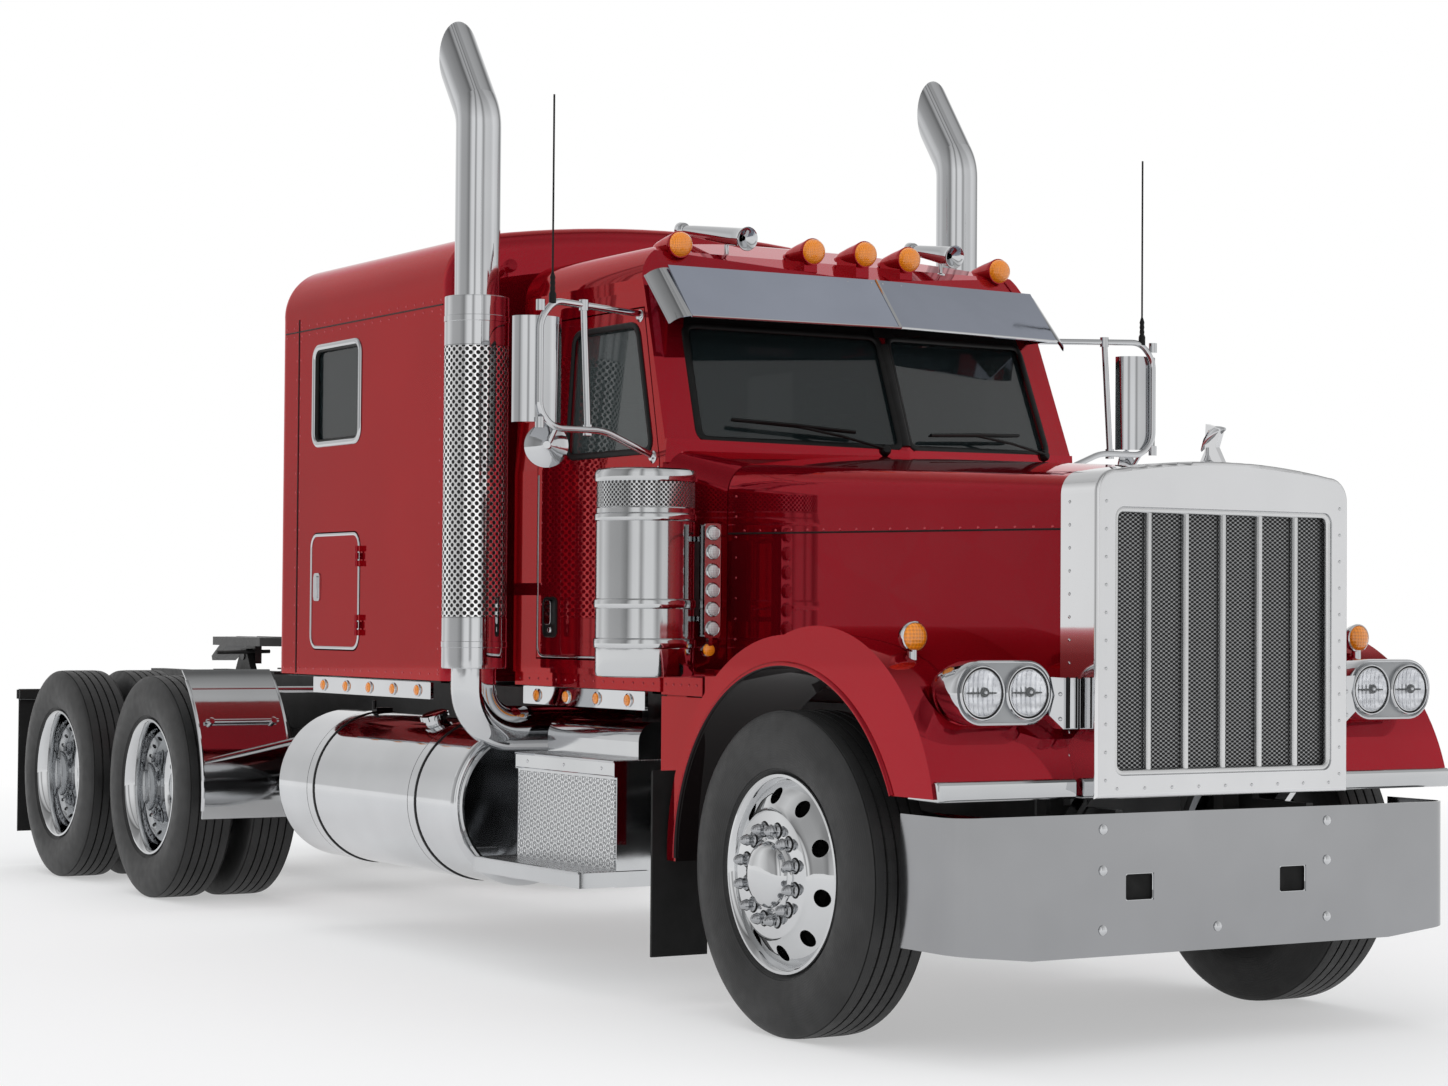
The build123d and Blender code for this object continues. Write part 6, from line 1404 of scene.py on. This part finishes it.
# ---- Camera, floor and light ----
CAMERA_AT = Vector((-6.544, -11.759, 1.415))
YAW, RISE, ROLL = math.radians(-31.821), math.radians(-1.451), math.radians(0.425)
FOCAL_PX, PHOTO_WIDE, SENSOR = 2937.7, 1448, 36.0


def camera():
    data = bpy.data.cameras.new("photo_camera")
    data.sensor_width = SENSOR
    data.lens = FOCAL_PX / PHOTO_WIDE * SENSOR
    data.clip_end = 200
    obj = bpy.data.objects.new("photo_camera", data)
    bpy.context.scene.collection.objects.link(obj)
    ahead = -Vector((math.sin(YAW) * math.cos(RISE), -math.cos(YAW) * math.cos(RISE),
                     math.sin(RISE)))
    right = ahead.cross(UP).normalized()
    up = right.cross(ahead)
    right, up = (right * math.cos(ROLL) + up * math.sin(ROLL),
                 up * math.cos(ROLL) - right * math.sin(ROLL))
    turn = Matrix((right, up, -ahead)).transposed().to_4x4()
    obj.matrix_world = Matrix.Translation(CAMERA_AT) @ turn
    bpy.context.scene.camera = obj


def pale_floor():
    """Pale ground that fades to plain white away from the truck."""
    n = Look("pale_floor", Roughness=0.95, Specular_IOR_Level=0.0, Emission_Color=(1, 1, 1))
    x, y, _ = n.split()
    far = n.math("DIVIDE", n.math("SQRT", x * x + y * y) - 5.0, 7.0, clamp=True)
    white = (far * 0.56 + 0.44) * n.rays()[1]
    n.set(Base_Color=n.mix(white, (0.93, 0.93, 0.93), (0.0, 0.0, 0.0)), Emission_Strength=white)
    return n.material


def floor():
    half = 60
    mesh = bpy.data.meshes.new("studio_floor")
    mesh.from_pydata([(-half, -half, 0), (half, -half, 0), (half, half, 0), (-half, half, 0)], [],
                     [(0, 1, 2, 3)])
    obj = bpy.data.objects.new("studio_floor", mesh)
    bpy.context.scene.collection.objects.link(obj)
    mesh.materials.append(pale_floor())


# columns: share of the way from straight down to straight up, brightness of the backdrop
BACKDROP = ((0.0, 0.6), (0.4, 0.8), (0.495, 1.0), (0.66, 1.0), (0.8, 0.8), (1.0, 0.5))
# columns: degrees round from +X towards +Y, how bright metal and glass find that side
PANELS = ((-180, 0.5), (-163, 0.3), (-149, 0.95), (-137, 1.0), (-130, 0.4), (-121, 1.0),
          (-103, 1.0), (-92, 0.42), (-80, 0.85), (-50, 0.78), (-34, 1.0), (-12, 0.85), (6, 0.62),
          (20, 0.25), (40, 0.85), (95, 0.84), (112, 0.68), (126, 0.94), (150, 0.55), (180, 0.5))
WORLD_LIGHT = (0.6, 0.61, 0.625)


def sky():
    """White backdrop, softly panelled for metal and glass, and an even light on the truck."""
    scene = bpy.context.scene
    scene.world = scene.world or bpy.data.worlds.new("studio")
    scene.world.use_nodes = True
    scene.world.node_tree.nodes.clear()
    n = Nodes(scene.world.node_tree)
    x, y, z = n.split("Generated")
    height = n.ramp(z * 0.5 + 0.5, *BACKDROP)
    panels = n.ramp(n.math("ARCTAN2", y, x) / TAU + 0.5,
                    *[(degrees / 360 + 0.5, value) for degrees, value in PANELS])
    camera_ray, seen = n.rays()
    mirrored = n.mix(1.0, height, panels, "MULTIPLY")
    shown = n.mix(camera_ray, mirrored, (1.0, 1.0, 1.0))
    lit, white = (n.add("ShaderNodeBackground", {"Color": c}) for c in (WORLD_LIGHT, shown))
    mixed = n.add("ShaderNodeMixShader", {"Fac": seen, 1: lit, 2: white})
    n.put(mixed, n.tree.nodes.new("ShaderNodeOutputWorld").inputs["Surface"])


def lamps():
    # columns: name, place, aimed at, size, power
    for name, place, target, size, power in (
            ("key_light", (-10, -10, 12), (0, -1, 1.5), (12, 9), 470),
            ("fill_light", (10, -12, 7), (0, -3, 1.5), (10, 7), 210),
            ("top_light", (0, 2, 14), (0, 0, 1), (13, 15), 640)):
        data = bpy.data.lights.new(name, "AREA")
        data.shape = "RECTANGLE"
        data.size, data.size_y = size
        data.energy = power
        obj = bpy.data.objects.new(name, data)
        bpy.context.scene.collection.objects.link(obj)
        obj.visible_glossy = False
        obj.matrix_world = aim(place, Vector(place) - Vector(target))
    bpy.context.scene.view_settings.view_transform = "Standard"


camera()
floor()
sky()
lamps()
for side_name, sign in SIDES:
    front_wheel(side_name, sign)
    for axle, axle_y in zip(("forward", "rear"), DRIVE_Y):
        dual_wheels(axle, axle_y, side_name, sign)
    head_lamps(side_name, sign)
    door_trim(side_name, sign)
    mirror(side_name, sign)
for build in (grille, shell_trim, bumper_bolts, hood_trim, windshield, sill_bands, visor_trim,
              marker_lamps, horns, air_cleaners, stacks, tanks, steps, sleeper_trim,
              quarter_fender_edges, rear_trim, coupling_detail, seats, mattress, steering_wheel):
    build()
